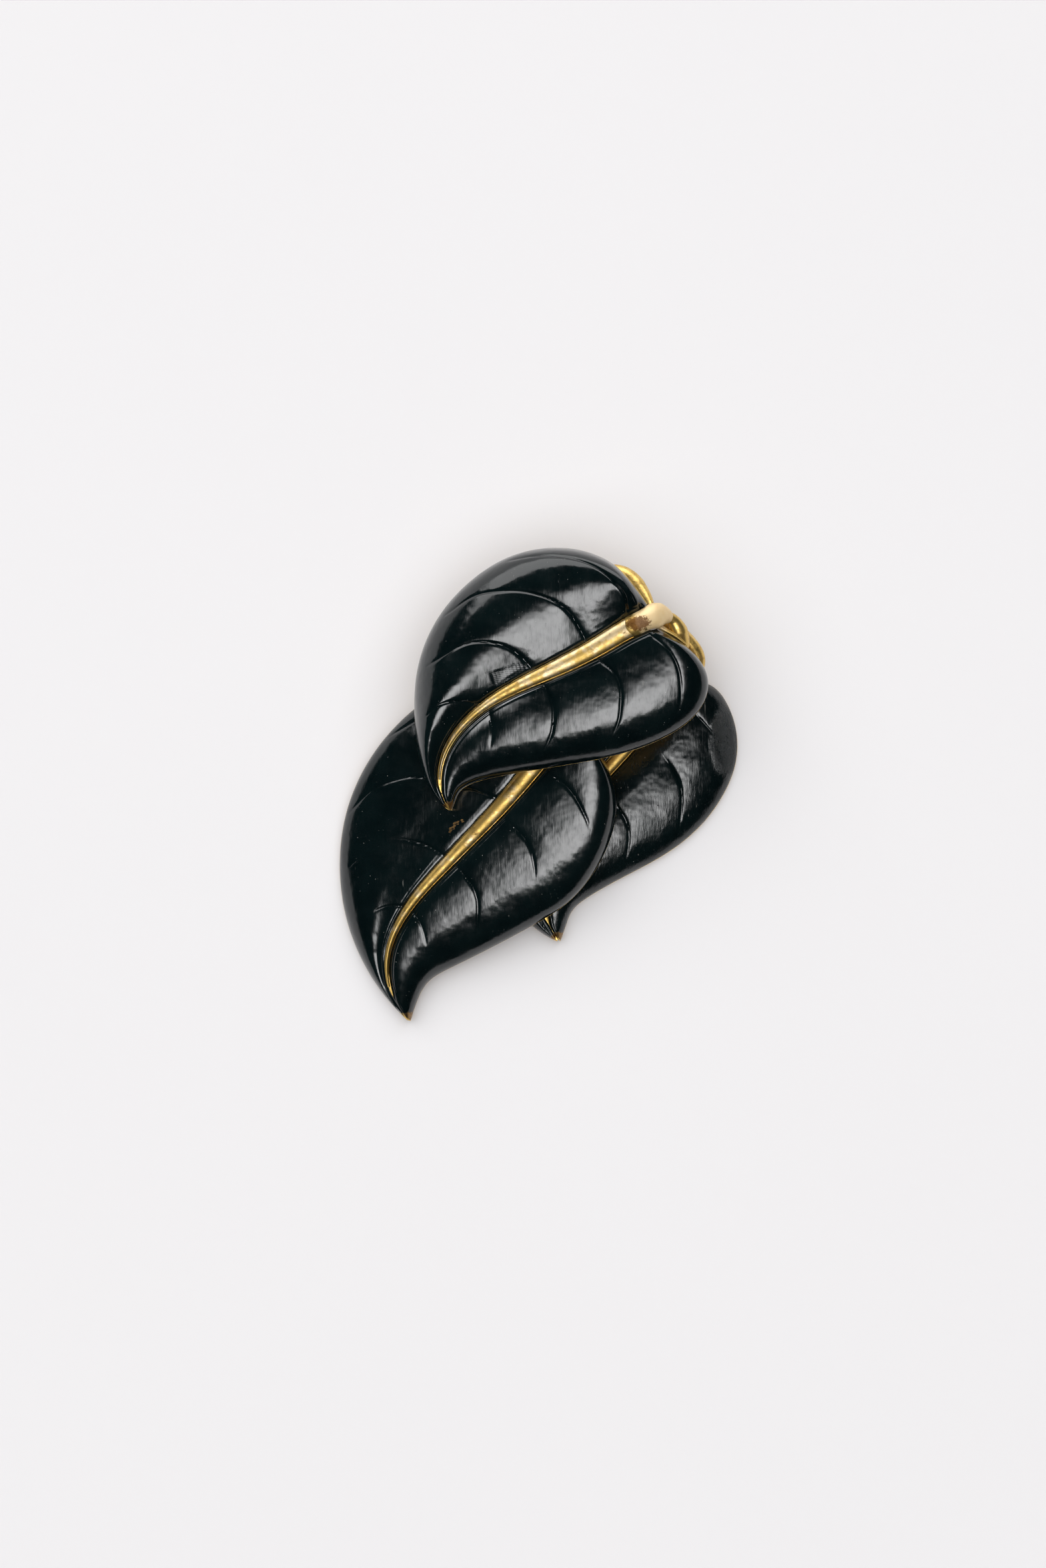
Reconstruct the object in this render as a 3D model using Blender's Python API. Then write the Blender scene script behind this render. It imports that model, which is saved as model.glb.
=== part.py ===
"""A brooch: three overlapping domed leaves, black enamel on gilt castings, with a hinged pin at the back.

It lies face up: +Z is the front, the back rests on z = 0, and the stems gather at the far right corner.
Lengths in this file are millimetres, and MM turns them into Blender's metres.
"""

import math

import bmesh
import bpy
import numpy as np
from mathutils import Matrix, Vector
from mathutils.bvhtree import BVHTree

MM = 0.001

# Layers of a leaf, as depths below its outer skin.
ENAMEL_DEPTH = 0.5
CASTING_DEPTH = 0.64
BACK_DEPTH = 1.6
LAYER_GAP = 0.12
LIP_HEIGHT = 0.35
SOLDER_GAP = 0.15

# Where the modelled surfaces have their points, along a leaf and across a lobe.
STATIONS = 19
STATION_PACE = 1.5
BODY_END = 0.88
RIB_LAST = 0.925
ENAMEL_END = 0.955
TIP_STATIONS = (0.963, 0.977, 0.99)
ACROSS = (0.0, 0.14, 0.28, 0.4, 0.55, 0.7, 0.82, 0.92, 1.0)
MERGE_DISTANCE = 0.001

# The midrib's rounded top.
RIB_SIDES = 6
RIB_SHOULDER = 0.1
RIB_CROWN = 0.3
RIB_ROUNDNESS = 0.35

FINISHES = {
    "enamel": ((0.012, 0.02, 0.022), 0.12, 0.0),
    "gilt": ((0.76, 0.55, 0.24), 0.25, 1.0),
    "nickel": ((0.62, 0.58, 0.5), 0.3, 1.0),
    "steel": ((0.55, 0.54, 0.52), 0.28, 1.0),
}

# A lobe's cross-section: it rises from the midrib to a crest, then falls as a rounded edge to the rim.
CREST_ROW = 0.4
TIP_RISE = 1.5
FULL_WIDTH = 13.0
NOTCH_SHARE = 0.55
NOTCH_FADE = 8
# How the valley fills, the crest moves outwards and the rulings' bow fades towards the tip.
VALLEY_FADE = 2.0
REACH_GROWTH = 0.6
BULGE_FADE = 0.7
# The share of a lobe's width, and of the valley's height, that its layers may take up.
SIDE_ROOM = 0.6
UPRIGHT_ROOM = 0.8
# Where a ruling starts on the midrib, as a power of its place along the leaf.
MIDRIB_PACE = 1.55
# The part of the midrib's length over which its direction is measured.
DIRECTION_STEP = 0.004
# Where the casting's inside has extra points near the rim.
INSIDE_EDGE = (1.0, 0.97, 0.94)

# The gilt knot, stems and curls behind the top leaf.
KNOT_CENTRE = (17.5, 25.6, 12.6)
KNOT_RADII = (1.5, 1.65, 1.9)
KNOT_TURN = 23.0
STEMS = {
    "left_stem": {
        "path": [(4.9, 10.4, 8.5), (6.0, 14.0, 9.0), (5.9, 19.0, 9.2), (5.8, 24.0, 9.2), (6.9, 28.9, 9.2),
                 (9.2, 31.2, 9.2), (11.6, 31.7, 9.2), (13.6, 31.0, 9.2), (15.2, 29.4, 9.4),
                 (16.4, 27.9, 10.6)],
        "radii": (1.3, 1.3, 1.35, 1.2),
    },
    "right_stem": {
        "path": [(19.8, 14.2, 2.2), (21.7, 15.7, 4.3), (23.4, 17.3, 6.1), (23.8, 19.1, 6.8),
                 (22.9, 21.0, 6.9), (21.2, 22.8, 7.1), (19.5, 24.1, 7.8), (17.9, 25.1, 9.2)],
        "radii": (1.1, 1.2, 1.25, 1.1),
    },
    "top_curl": {
        "path": [(19.5, 25.2, 12.0), (20.3, 23.9, 11.2), (21.0, 22.3, 9.9), (21.1, 20.6, 9.5),
                 (20.3, 18.9, 9.5), (18.8, 17.6, 9.7), (17.0, 17.0, 10.0)],
        "radii": (1.2, 1.35, 1.3, 0.9),
    },
}

# A round rod's rounded end: places along it as shares of its radius, and the radius there as a share.
ROD_END = ((0.0, 0.45), (0.3, 0.8))
ROD_SIDES = 10
ROD_RINGS = 18
DIRECTION_REACH = 0.01

# The back: a strap carries the pin's fittings, and short posts tie the layers together.
STRAP_FROM = -3.2
STRAP_WIDTH = 3.2
STRAP_HEIGHTS = (4.15, 5.15)
STRAP_POSTS = {"strap_post_near": 5.0, "strap_post_far": 16.0}
STRAP_POST_RADIUS = 1.3
TIE_POSTS = {
    "upper_tie_post": ("left_leaf", 0.2, "top_leaf", 1.0),
    "lower_tie_post": ("right_leaf", 0.5, "left_leaf", 0.8),
}

# The pin and its fittings, in a frame with X from the hinge to the catch and Y along the hinge's axis.
HINGE_AT = (0.3, 5.7)
CATCH_AT = (-11.0, -17.0)
PIN_HEIGHT = 1.9
PIN_TAPER = ((0.0, 0.45), (0.5, 0.42), (0.82, 0.36), (0.95, 0.216), (1.0, 0.07))
EYE_OVERLAP = 0.3
PIN_OVERHANG = 3.2
PIN_SIDES = 12
KNUCKLE_RADIUS = 1.2
KNUCKLE_BORE = 0.65
KNUCKLE_WIDTH = 1.6
HINGE_LENGTH = 4.4
HINGE_WIDTH = 3.6
HINGE_SLOT = 1.9
HINGE_ROOF = 3.35
FITTING_TOP = 4.0
RIVET_RADIUS = 0.5
RIVET_HEAD_RADIUS = 0.85
# The rivet's domed head: places outwards from its face, and the radius there as a share of the head's.
RIVET_DOME = ((0.35, 0.4), (0.21, 0.85), (0.0, 1.0))
RIVET_SIDES = 16
CATCH_LENGTH = 2.6
CATCH_WIDTH = 4.2
CATCH_BORE = 1.38
PIN_SLOT = 1.2
ROLLER_RADIUS = 1.26
ROLLER_BORE = 0.78
ROLLER_LENGTH = 4.2
ROLLER_PROUD = 0.4
LEVER_ANGLE = 20.0
LEVER_REACH = 2.9
LEVER_THICKNESS = 0.7
LEVER_WIDTH = 0.9
LEVER_ROOT = 0.25
FIT_GAP = 0.15

LEAVES = {
    "top_leaf": {
        "midrib": [(15.9, 24.8), (13.6, 23.7), (9.2, 21.1), (1.2, 17.0), (-6.8, 12.9), (-10.8, 9.7),
                   (-13.8, 5.5), (-14.8, 1.4), (-14.2, -1.9), (-13.1, -3.9)],
        "outer": [(16.3, 27.3), (14.5, 29.9), (11.2, 33.2), (6.8, 35.2), (2.2, 35.7), (-3.8, 34.6),
                  (-9.8, 31.1), (-15.3, 24.9), (-18.1, 17.9), (-18.6, 9.9), (-17.1, 1.4), (-14.9, -2.3),
                  (-13.1, -3.9)],
        "inner": [(18.1, 23.6), (20.0, 22.4), (23.2, 19.9), (25.3, 15.8), (24.2, 11.7), (20.2, 8.1),
                  (13.2, 5.1), (4.2, 3.2), (-4.8, 1.7), (-9.4, 0.6), (-11.8, -0.8), (-12.6, -2.5),
                  (-13.1, -3.9)],
        "rim_pace": {"outer": 0.65, "inner": 0.5},
        "bulge": {"outer": 0.5, "inner": 0.5},
        "crest_reach": {"outer": 0.36, "inner": 0.16},
        "edge_power": {"outer": 2.2, "inner": 2.0},
        "rim_plane": (10.75, 0.07, -0.02),
        "rise": {"outer": 6.8, "inner": 5.0},
        "valley_share": 0.79,
        "rib_width": (3.0, 2.35, 1.15, 0.25),
        "rib_end": 0.9,
    },
    "left_leaf": {
        "midrib": [(4.4, 9.7), (-0.8, 2.9), (-6.8, -4.1), (-10.6, -8.1), (-14.4, -12.1), (-18.0, -16.1),
                   (-20.8, -20.1), (-22.5, -24.1), (-22.9, -27.6), (-21.7, -32.4), (-19.4, -35.7)],
        "outer": [(3.6, 11.9), (0.7, 16.1), (-4.3, 17.7), (-10.8, 16.4), (-18.8, 11.6), (-24.8, 5.1),
                  (-28.9, -3.6), (-30.0, -12.1), (-29.1, -19.6), (-26.2, -27.1), (-22.5, -32.5),
                  (-19.4, -35.7)],
        "inner": [(5.9, 9.0), (8.6, 6.2), (10.7, 1.9), (11.7, -2.4), (10.7, -8.1), (8.2, -13.1),
                  (4.0, -17.8), (-0.8, -20.9), (-7.3, -24.4), (-13.3, -27.4), (-16.8, -29.7),
                  (-18.3, -32.4), (-19.4, -35.7)],
        "rim_pace": {"outer": 0.8, "inner": 0.5},
        "bulge": {"outer": 0.35, "inner": 0.5},
        "crest_reach": {"outer": 0.3, "inner": 0.1},
        "edge_power": {"outer": 2.2, "inner": 1.7},
        "rim_plane": (4.6, 0.125, 0.045),
        "rise": {"outer": 4.6, "inner": 5.2},
        "valley_share": 0.98,
        "rib_width": (2.8, 2.2, 1.35, 0.3),
        "rib_end": 0.9,
    },
    "right_leaf": {
        "midrib": [(19.2, 13.4), (12.7, 5.1), (10.2, 2.3), (6.2, -3.1), (2.7, -9.1), (0.8, -15.1),
                   (1.1, -19.6), (3.2, -23.6)],
        "outer": [(17.4, 14.6), (13.2, 13.2), (7.2, 8.1), (1.2, 0.9), (-2.8, -7.1), (-3.8, -14.1),
                  (-2.6, -18.9), (0.1, -21.9), (3.2, -23.6)],
        "inner": [(21.0, 13.3), (23.2, 15.7), (26.1, 15.2), (28.5, 12.4), (29.9, 7.9), (29.6, 2.9),
                  (27.8, -1.4), (24.2, -6.2), (19.2, -10.2), (13.2, -13.5), (7.7, -16.6), (5.1, -18.8),
                  (4.0, -21.4), (3.2, -23.6)],
        "rim_pace": {"outer": 0.9, "inner": 0.42},
        "bulge": {"outer": 0.1, "inner": 0.5},
        "crest_reach": {"outer": 0.4, "inner": 0.18},
        "edge_power": {"outer": 2.2, "inner": 1.8},
        "rim_plane": (0.6, -0.02, 0.0),
        "rise": {"outer": 3.6, "inner": 4.0},
        "valley_share": 0.72,
        "rib_width": (1.9, 1.7, 1.1, 0.3),
        "rib_end": 0.9,
    },
}


def smooth_line(points, samples=400):
    """A natural cubic spline through the points, as points evenly spaced along it."""
    knots = np.array(points, float)
    at = np.concatenate([[0], np.cumsum(np.linalg.norm(np.diff(knots, axis=0), axis=1))])
    gaps = np.diff(at)
    matrix = np.eye(len(knots))
    right = np.zeros_like(knots)
    for i in range(1, len(knots) - 1):
        matrix[i, i - 1:i + 2] = gaps[i - 1], 2 * (gaps[i - 1] + gaps[i]), gaps[i]
        right[i] = 6 * ((knots[i + 1] - knots[i]) / gaps[i] - (knots[i] - knots[i - 1]) / gaps[i - 1])
    bend = np.linalg.solve(matrix, right)
    where = np.linspace(0, at[-1], samples)
    span = np.clip(np.searchsorted(at, where, side="right") - 1, 0, len(gaps) - 1)
    before = ((at[span + 1] - where) / gaps[span])[:, None]
    after = 1 - before
    cubic = (before**3 - before) * bend[span] + (after**3 - after) * bend[span + 1]
    line = before * knots[span] + after * knots[span + 1] + cubic * gaps[span, None] ** 2 / 6
    return resampled(line, samples)


def resampled(line, count):
    """The same line as evenly spaced points."""
    length = np.concatenate([[0], np.cumsum(np.linalg.norm(np.diff(line, axis=0), axis=1))])
    return along(line, np.linspace(0, 1, count), length / length[-1])


def along(line, share, shares=None):
    """The line's points at these shares of its length."""
    if shares is None:
        shares = np.linspace(0, 1, len(line))
    return np.stack([np.interp(share, shares, line[:, k]) for k in range(line.shape[1])], axis=-1)


def sunk(depth, room):
    """A layer's depth, which eases off where there is little room, so that layers never cross."""
    return room * (1 - np.exp(-depth / room))


class Leaf:
    """A leaf's outer skin, and the layers below it, as a function of the place along it and across a lobe.

    Along runs from 0 at the notch to 1 at the tip. Across runs from 0 beside the midrib to 1 at the rim.
    """

    def __init__(self, midrib, outer, inner, rim_pace, bulge, crest_reach, edge_power, rim_plane, rise,
                 valley_share, rib_width, rib_end):
        self.midrib = smooth_line(midrib)
        self.rim = {"outer": smooth_line(outer), "inner": smooth_line(inner)}
        self.turn = {"outer": -1.0, "inner": 1.0}
        self.rim_pace = rim_pace
        self.bulge = bulge
        self.crest_reach = crest_reach
        self.edge_power = edge_power
        self.rim_plane = rim_plane
        self.rise = rise
        self.valley_share = valley_share
        self.rib_width = rib_width
        self.rib_end = rib_end

    def plane(self, xy):
        height, slope_x, slope_y = self.rim_plane
        return height + slope_x * xy[..., 0] + slope_y * xy[..., 1]

    def middle(self, s):
        """The midrib's centre line, and its sideways direction towards the inner lobe."""
        share = s**MIDRIB_PACE
        step = along(self.midrib, share + DIRECTION_STEP) - along(self.midrib, share - DIRECTION_STEP)
        step /= np.linalg.norm(step, axis=-1, keepdims=True)
        return along(self.midrib, share), np.stack([-step[..., 1], step[..., 0]], axis=-1)

    def half_rib(self, s, gap=0.0):
        """Half the midrib's width: it tapers from the notch and ends short of the tip."""
        places = np.linspace(0, self.rib_end, len(self.rib_width))
        halves = [width / 2 + gap for width in self.rib_width]
        return np.interp(s**MIDRIB_PACE, [*places, 1.0], [*halves, 0.0])

    def ruling(self, side, s):
        """A ruling's start beside the midrib and its end on the rim."""
        centre, sideways = self.middle(s)
        start = centre + sideways * self.turn[side] * self.half_rib(s, SOLDER_GAP)[..., None]
        return start, along(self.rim[side], s ** self.rim_pace[side])

    def crest(self, side, s):
        """How high a lobe's crest stands above the rim's plane."""
        start, end = self.ruling(side, s)
        width = np.linalg.norm(end - start, axis=-1)
        share = np.sin(np.minimum(width / FULL_WIDTH, 1) * math.pi / 2)
        share = np.minimum(np.hypot(share, NOTCH_SHARE * (1 - s) ** NOTCH_FADE), 1)
        return TIP_RISE + (self.rise[side] - TIP_RISE) * share

    def valley(self, s):
        """How high the leaf stands beside its midrib."""
        share = self.valley_share + (1 - self.valley_share) * s**VALLEY_FADE
        return share * (self.crest("outer", s) + self.crest("inner", s)) / 2

    def drop(self, s, depth):
        """How far a layer lies below the skin, measured upright."""
        return sunk(depth, UPRIGHT_ROOM * self.valley(s))

    def point(self, side, s, across, depth=0.0, lip=0.0):
        """The place at that depth below the skin, for arrays s and across that broadcast together.

        The edge comes down to the lip's height above the rim's plane.
        """
        s, across, depth = np.broadcast_arrays(s, across, depth)
        start, end = self.ruling(side, s)
        reach = end - start
        width = np.linalg.norm(reach, axis=-1, keepdims=True)
        end = end - reach / width * sunk(depth[..., None], SIDE_ROOM * width)
        base_side = np.stack([reach[..., 1], -reach[..., 0]], axis=-1) * -self.turn[side]
        bulge = self.bulge[side] * np.sin(math.pi * np.clip(s, 0.001, 0.999)) ** BULGE_FADE
        control = (start + end) / 2 + base_side * bulge[..., None]
        drop = self.drop(s, depth)
        low, high = self.valley(s) - drop, self.crest(side, s) - drop
        angle = np.clip((across - CREST_ROW) / (1 - CREST_ROW), 0, 1) * np.arccos(lip / high)
        reached = self.crest_reach[side] * (1 + REACH_GROWTH * s**2)
        share = reached * np.minimum(across / CREST_ROW, 1)
        share = (share + (1 - reached) * np.sin(angle) ** (2 / self.edge_power[side]))[..., None]
        xy = (1 - share) ** 2 * start + 2 * share * (1 - share) * control + share**2 * end
        rising = low + (high - low) * np.sin(np.minimum(across / CREST_ROW, 1) * math.pi / 2)
        falling = high * np.cos(angle)
        z = self.plane(xy) + np.where(across < CREST_ROW, rising, falling)
        return np.concatenate([xy, z[..., None]], axis=-1)


def closed_slab(front, back):
    """A body between two grids of the same shape, joined around their border."""
    rows, columns = front.shape[:2]
    number = np.arange(rows * columns).reshape(rows, columns)
    below = rows * columns
    faces = []
    for i in range(rows - 1):
        for j in range(columns - 1):
            a, b, c, d = number[i, j], number[i + 1, j], number[i + 1, j + 1], number[i, j + 1]
            faces += [(a, b, c), (a, c, d)]
            faces += [(c + below, b + below, a + below), (d + below, c + below, a + below)]
    border = [*number[0, :-1], *number[:-1, -1], *number[-1, :0:-1], *number[:0:-1, 0]]
    for here, there in zip(border, border[1:] + border[:1]):
        faces += [(here, there, there + below), (here, there + below, here + below)]
    return np.concatenate([front.reshape(-1, 3), back.reshape(-1, 3)]), faces


def closed_tube(rings):
    """A body through closed rings of points, with a flat end at each end."""
    rows, columns = rings.shape[:2]
    number = np.arange(rows * columns).reshape(rows, columns)
    around = np.roll(number, -1, axis=1)
    faces = []
    for i in range(rows - 1):
        for j in range(columns):
            a, b, c, d = number[i, j], number[i + 1, j], around[i + 1, j], around[i, j]
            faces += [(a, b, c), (a, c, d)]
    faces += [tuple(number[0]), tuple(number[-1, ::-1])]
    return rings.reshape(-1, 3), faces


def prism(outline, ends, axis):
    """A body with this flat outline between two places along an axis, the outline lying in the other two."""
    rings = []
    for place in ends:
        ring = np.insert(np.array(outline, float), axis, place, axis=1)
        rings.append(ring)
    return closed_tube(np.array(rings))


def round_rod(path, radii):
    """A round rod along a smooth path, with rounded ends."""
    line = smooth_line(path)
    length = np.linalg.norm(np.diff(line, axis=0), axis=1).sum()
    tip = radii[0] / length
    begin = [tip * place for place, _ in ROD_END]
    shares = [share for _, share in ROD_END]
    places = [*begin, *np.linspace(tip, 1 - tip, ROD_RINGS), *(1 - place for place in begin[::-1])]
    ends = [*shares, *[1.0] * ROD_RINGS, *shares[::-1]]
    rings = []
    across = np.array([0.0, 0.0, 1.0])
    for place, end in zip(places, ends):
        after = along(line, np.array(min(place + DIRECTION_REACH, 1)))
        ahead = after - along(line, np.array(max(place - DIRECTION_REACH, 0)))
        ahead /= np.linalg.norm(ahead)
        across = across - ahead * np.dot(across, ahead)
        across /= np.linalg.norm(across)
        third = np.cross(ahead, across)
        radius = end * np.interp(place, np.linspace(0, 1, len(radii)), radii)
        turns = np.linspace(0, 2 * math.pi, ROD_SIDES, endpoint=False)
        circle = np.cos(turns)[:, None] * across + np.sin(turns)[:, None] * third
        rings.append(along(line, np.array(place)) + radius * circle)
    return closed_tube(np.array(rings))


def circle_points(radius, sides=24, start=0.0, sweep=360.0, centre=(0.0, 0.0)):
    """Points on a circle or an arc, from a start angle in degrees."""
    steps = np.arange(sides) / (sides if sweep == 360 else sides - 1)
    turns = np.radians(start + sweep * steps)
    return [(centre[0] + radius * math.cos(turn), centre[1] + radius * math.sin(turn)) for turn in turns]


def finish(name, kind):
    """A part's own material."""
    colour, roughness, metallic = FINISHES[kind]
    material = bpy.data.materials.new(f"{name}_{kind}")
    material.use_nodes = True
    shader = material.node_tree.nodes["Principled BSDF"]
    shader.inputs["Base Color"].default_value = (*colour, 1)
    shader.inputs["Roughness"].default_value = roughness
    shader.inputs["Metallic"].default_value = metallic
    return material


def holder(name, at, turn=0.0):
    """An empty that carries a group of parts."""
    empty = bpy.data.objects.new(name, None)
    empty.empty_display_size = 3 * MM
    empty.location = Vector(at) * MM
    empty.rotation_euler.z = turn
    bpy.context.scene.collection.objects.link(empty)
    return empty


def add_part(name, shape, kind, carrier, origin=(0, 0, 0)):
    """A part from vertices and faces in its carrier's frame, with its origin at the given place there."""
    vertices, faces = shape
    mesh = bpy.data.meshes.new(name)
    local = (np.asarray(vertices, float) - np.array(origin, float)) * MM
    mesh.from_pydata(local.tolist(), [], [tuple(int(i) for i in face) for face in faces])
    clean = bmesh.new()
    clean.from_mesh(mesh)
    bmesh.ops.remove_doubles(clean, verts=clean.verts, dist=MERGE_DISTANCE * MM)
    bmesh.ops.recalc_face_normals(clean, faces=clean.faces)
    clean.to_mesh(mesh)
    clean.free()
    mesh.shade_smooth()
    mesh.set_sharp_from_angle(angle=math.radians(40))
    mesh.materials.append(finish(name, kind))
    part = bpy.data.objects.new(name, mesh)
    part.location = Vector(origin) * MM
    part.parent = carrier
    bpy.context.scene.collection.objects.link(part)
    return part


def combine(part, shape, operation):
    """Cuts a shape from a part or adds it, both in the part's own frame."""
    tool = add_part("tool", shape, "gilt", part)
    boolean = part.modifiers.new("combine", "BOOLEAN")
    boolean.object = tool
    boolean.operation = operation
    boolean.solver = "EXACT"
    bpy.context.view_layer.update()
    shaped = part.evaluated_get(bpy.context.evaluated_depsgraph_get())
    mesh = bpy.data.meshes.new_from_object(shaped)
    part.modifiers.clear()
    part.data = mesh
    mesh.name = part.name
    bpy.data.objects.remove(tool)
    mesh.shade_smooth()
    mesh.set_sharp_from_angle(angle=math.radians(40))


def stations():
    """Places along a leaf, closer together at the notch, where the rim turns fastest."""
    body = np.linspace(0, BODY_END ** (1 / STATION_PACE), STATIONS) ** STATION_PACE
    return np.array([*body, RIB_LAST, ENAMEL_END])


def casting(leaf):
    """The hollow gilt shell under a leaf's enamel, with a bare tip and a lip below the enamel's edge."""
    s = np.concatenate([stations(), TIP_STATIONS])[:, None]
    depth = np.where(s < TIP_STATIONS[0], CASTING_DEPTH, 0.0)
    lip = LIP_HEIGHT - LAYER_GAP
    edge = np.ones((1, 1))
    across = np.array(ACROSS[-2::-1])[None, :]
    front, back = [], []
    for side in ("outer", "inner"):
        layers = [leaf.point(side, s, edge), leaf.point(side, s, edge, 0.0, lip),
                  leaf.point(side, s, edge, depth, lip), leaf.point(side, s, across, depth, LIP_HEIGHT)]
        front.append(np.concatenate(layers, axis=1))
        inside = np.concatenate([INSIDE_EDGE, ACROSS[-2::-1]])[None, :]
        back.append(leaf.point(side, s, inside, BACK_DEPTH))
    front = np.concatenate([front[0], front[1][:, ::-1]], axis=1)
    back = np.concatenate([back[0], back[1][:, ::-1]], axis=1)
    return closed_slab(front, back)


def enamel(leaf, side):
    """The black glass over one lobe of a leaf."""
    s = stations()[:, None]
    across = np.array(ACROSS[::-1] if side == "outer" else ACROSS)[None, :]
    front = leaf.point(side, s, across, 0.0, LIP_HEIGHT)
    back = leaf.point(side, s, across, ENAMEL_DEPTH, LIP_HEIGHT)
    return closed_slab(front, back)


def midrib(leaf):
    """The half-round gilt rod between a leaf's two lobes."""
    s = stations()[:-1]
    centre, sideways = leaf.middle(s)
    half = leaf.half_rib(s)
    height = leaf.plane(centre) + leaf.valley(s)
    foot = height - leaf.drop(s, ENAMEL_DEPTH)
    crown = RIB_CROWN + RIB_ROUNDNESS * half
    turns = np.linspace(0, math.pi, RIB_SIDES)
    rings = []
    for i in range(len(s)):
        shoulder = height[i] - RIB_SHOULDER
        over = [(math.cos(turn), shoulder + crown[i] * math.sin(turn)) for turn in turns]
        section = [(1.0, foot[i]), *over, (-1.0, foot[i])]
        ring = [(*(centre[i] + sideways[i] * half[i] * aside), z) for aside, z in section]
        rings.append(ring)
    return closed_tube(np.array(rings))


def surface_height(part, places, start, direction):
    """The nearest height at which vertical lines from these places meet a part, in millimetres."""
    bpy.context.view_layer.update()
    corners = [part.matrix_world @ vertex.co for vertex in part.data.vertices]
    tree = BVHTree.FromPolygons(corners, [face.vertices[:] for face in part.data.polygons])
    heights = []
    for x, y in places:
        hit = tree.ray_cast(Vector((x, y, start)) * MM, Vector((0, 0, direction)))[0]
        if hit is not None:
            heights.append(hit.z / MM)
    return min(heights) if direction > 0 else max(heights)


def post(radius, centre, low, high, sides=16):
    """An upright round post."""
    return prism(circle_points(radius, sides, centre=centre), (low, high), 2)


def make_leaves():
    """The three leaves, and a dictionary of their castings and surface functions."""
    made = {}
    for name, spec in LEAVES.items():
        leaf = Leaf(**spec)
        notch = (*spec["midrib"][0], 0.0)
        carrier = holder(name, notch)
        shapes = {
            "casting": (casting(leaf), "gilt"),
            "outer_enamel": (enamel(leaf, "outer"), "enamel"),
            "inner_enamel": (enamel(leaf, "inner"), "enamel"),
            "midrib": (midrib(leaf), "gilt"),
        }
        parts = {}
        for piece, (shape, kind) in shapes.items():
            local = (shape[0] - np.array(notch), shape[1])
            parts[piece] = add_part(f"{name}_{piece}", local, kind, carrier)
        made[name] = (leaf, parts)
    return made


def make_stems():
    """The knot behind the top leaf, and the stems and curls that gather at it."""
    carrier = holder("stems", KNOT_CENTRE)
    knot = bmesh.new()
    shape = Matrix.Rotation(math.radians(KNOT_TURN), 4, "Z") @ Matrix.Diagonal((*KNOT_RADII, 1))
    bmesh.ops.create_uvsphere(knot, u_segments=18, v_segments=10, radius=1, matrix=shape)
    vertices = [vertex.co[:] for vertex in knot.verts]
    faces = [[vertex.index for vertex in face.verts] for face in knot.faces]
    knot.free()
    add_part("stem_knot", (vertices, faces), "gilt", carrier)
    for name, stem in STEMS.items():
        vertices, faces = round_rod(stem["path"], stem["radii"])
        add_part(name, (vertices - np.array(KNOT_CENTRE), faces), "gilt", carrier)


def make_tie_posts(leaves):
    """Posts from one leaf's midrib up to the inside of the leaf above it."""
    for name, (lower, place, upper, radius) in TIE_POSTS.items():
        leaf, parts = leaves[lower]
        centre = leaf.middle(np.array(place))[0]
        ring = [centre, *circle_points(radius, 8, centre=centre)]
        low = surface_height(parts["midrib"], ring, 40.0, -1) + FIT_GAP
        high = surface_height(leaves[upper][1]["casting"], ring, low, 1) - FIT_GAP
        carrier = holder(f"{name}_place", (*centre, low))
        add_part(name, post(radius, (0, 0), 0, high - low), "gilt", carrier)


def make_back(leaves):
    """The strap behind the left leaf, its posts, and the hinged pin with its catch."""
    reach = Vector(CATCH_AT) - Vector(HINGE_AT)
    span = reach.length
    carrier = holder("pin_fittings", (*HINGE_AT, 0), math.atan2(reach.y, reach.x))
    half = STRAP_WIDTH / 2
    last = span + CATCH_LENGTH / 2
    strap = circle_points(half, 9, -90, 180, (last - half, 0))
    strap += circle_points(half, 9, 90, 180, (STRAP_FROM, 0))
    add_part("back_strap", prism(strap, STRAP_HEIGHTS, 2), "gilt", carrier)
    shell = leaves["left_leaf"][1]["casting"]
    for name, along_strap in STRAP_POSTS.items():
        centre = Vector(HINGE_AT) + reach.normalized() * along_strap
        ring = [centre, *circle_points(STRAP_POST_RADIUS, 8, centre=centre)]
        low = STRAP_HEIGHTS[1] + FIT_GAP
        high = surface_height(shell, ring, low, 1) - FIT_GAP
        add_part(name, post(STRAP_POST_RADIUS, (along_strap, 0), low, high), "gilt", carrier)
    make_hinge(carrier)
    make_pin(carrier, span)
    make_catch(carrier, span)


def make_hinge(carrier):
    """The forked hinge base and the rivet through it."""
    side = HINGE_WIDTH / 2
    slot = HINGE_SLOT / 2
    fork = [(side, 0), (side, FITTING_TOP), (-side, FITTING_TOP), (-side, 0), (-slot, 0), (-slot, HINGE_ROOF),
            (slot, HINGE_ROOF), (slot, 0)]
    length = (-HINGE_LENGTH / 2, HINGE_LENGTH / 2)
    base = add_part("hinge_base", prism(fork, length, 0), "nickel", carrier)
    bore = prism(circle_points(KNUCKLE_BORE, centre=(0, PIN_HEIGHT)), (-HINGE_WIDTH, HINGE_WIDTH), 1)
    combine(base, bore, "DIFFERENCE")
    face = side + FIT_GAP / 2
    head = [(face + out, share * RIVET_HEAD_RADIUS) for out, share in RIVET_DOME]
    profile = [*((-place, radius) for place, radius in head), (-face, RIVET_RADIUS)]
    profile += [(face, RIVET_RADIUS), *head[::-1]]
    rings = [np.insert(circle_points(radius, RIVET_SIDES), 1, place, axis=1) for place, radius in profile]
    origin = (0, 0, PIN_HEIGHT)
    vertices, faces = closed_tube(np.array(rings))
    add_part("hinge_rivet", (vertices + np.array(origin), faces), "nickel", carrier, origin)


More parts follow.
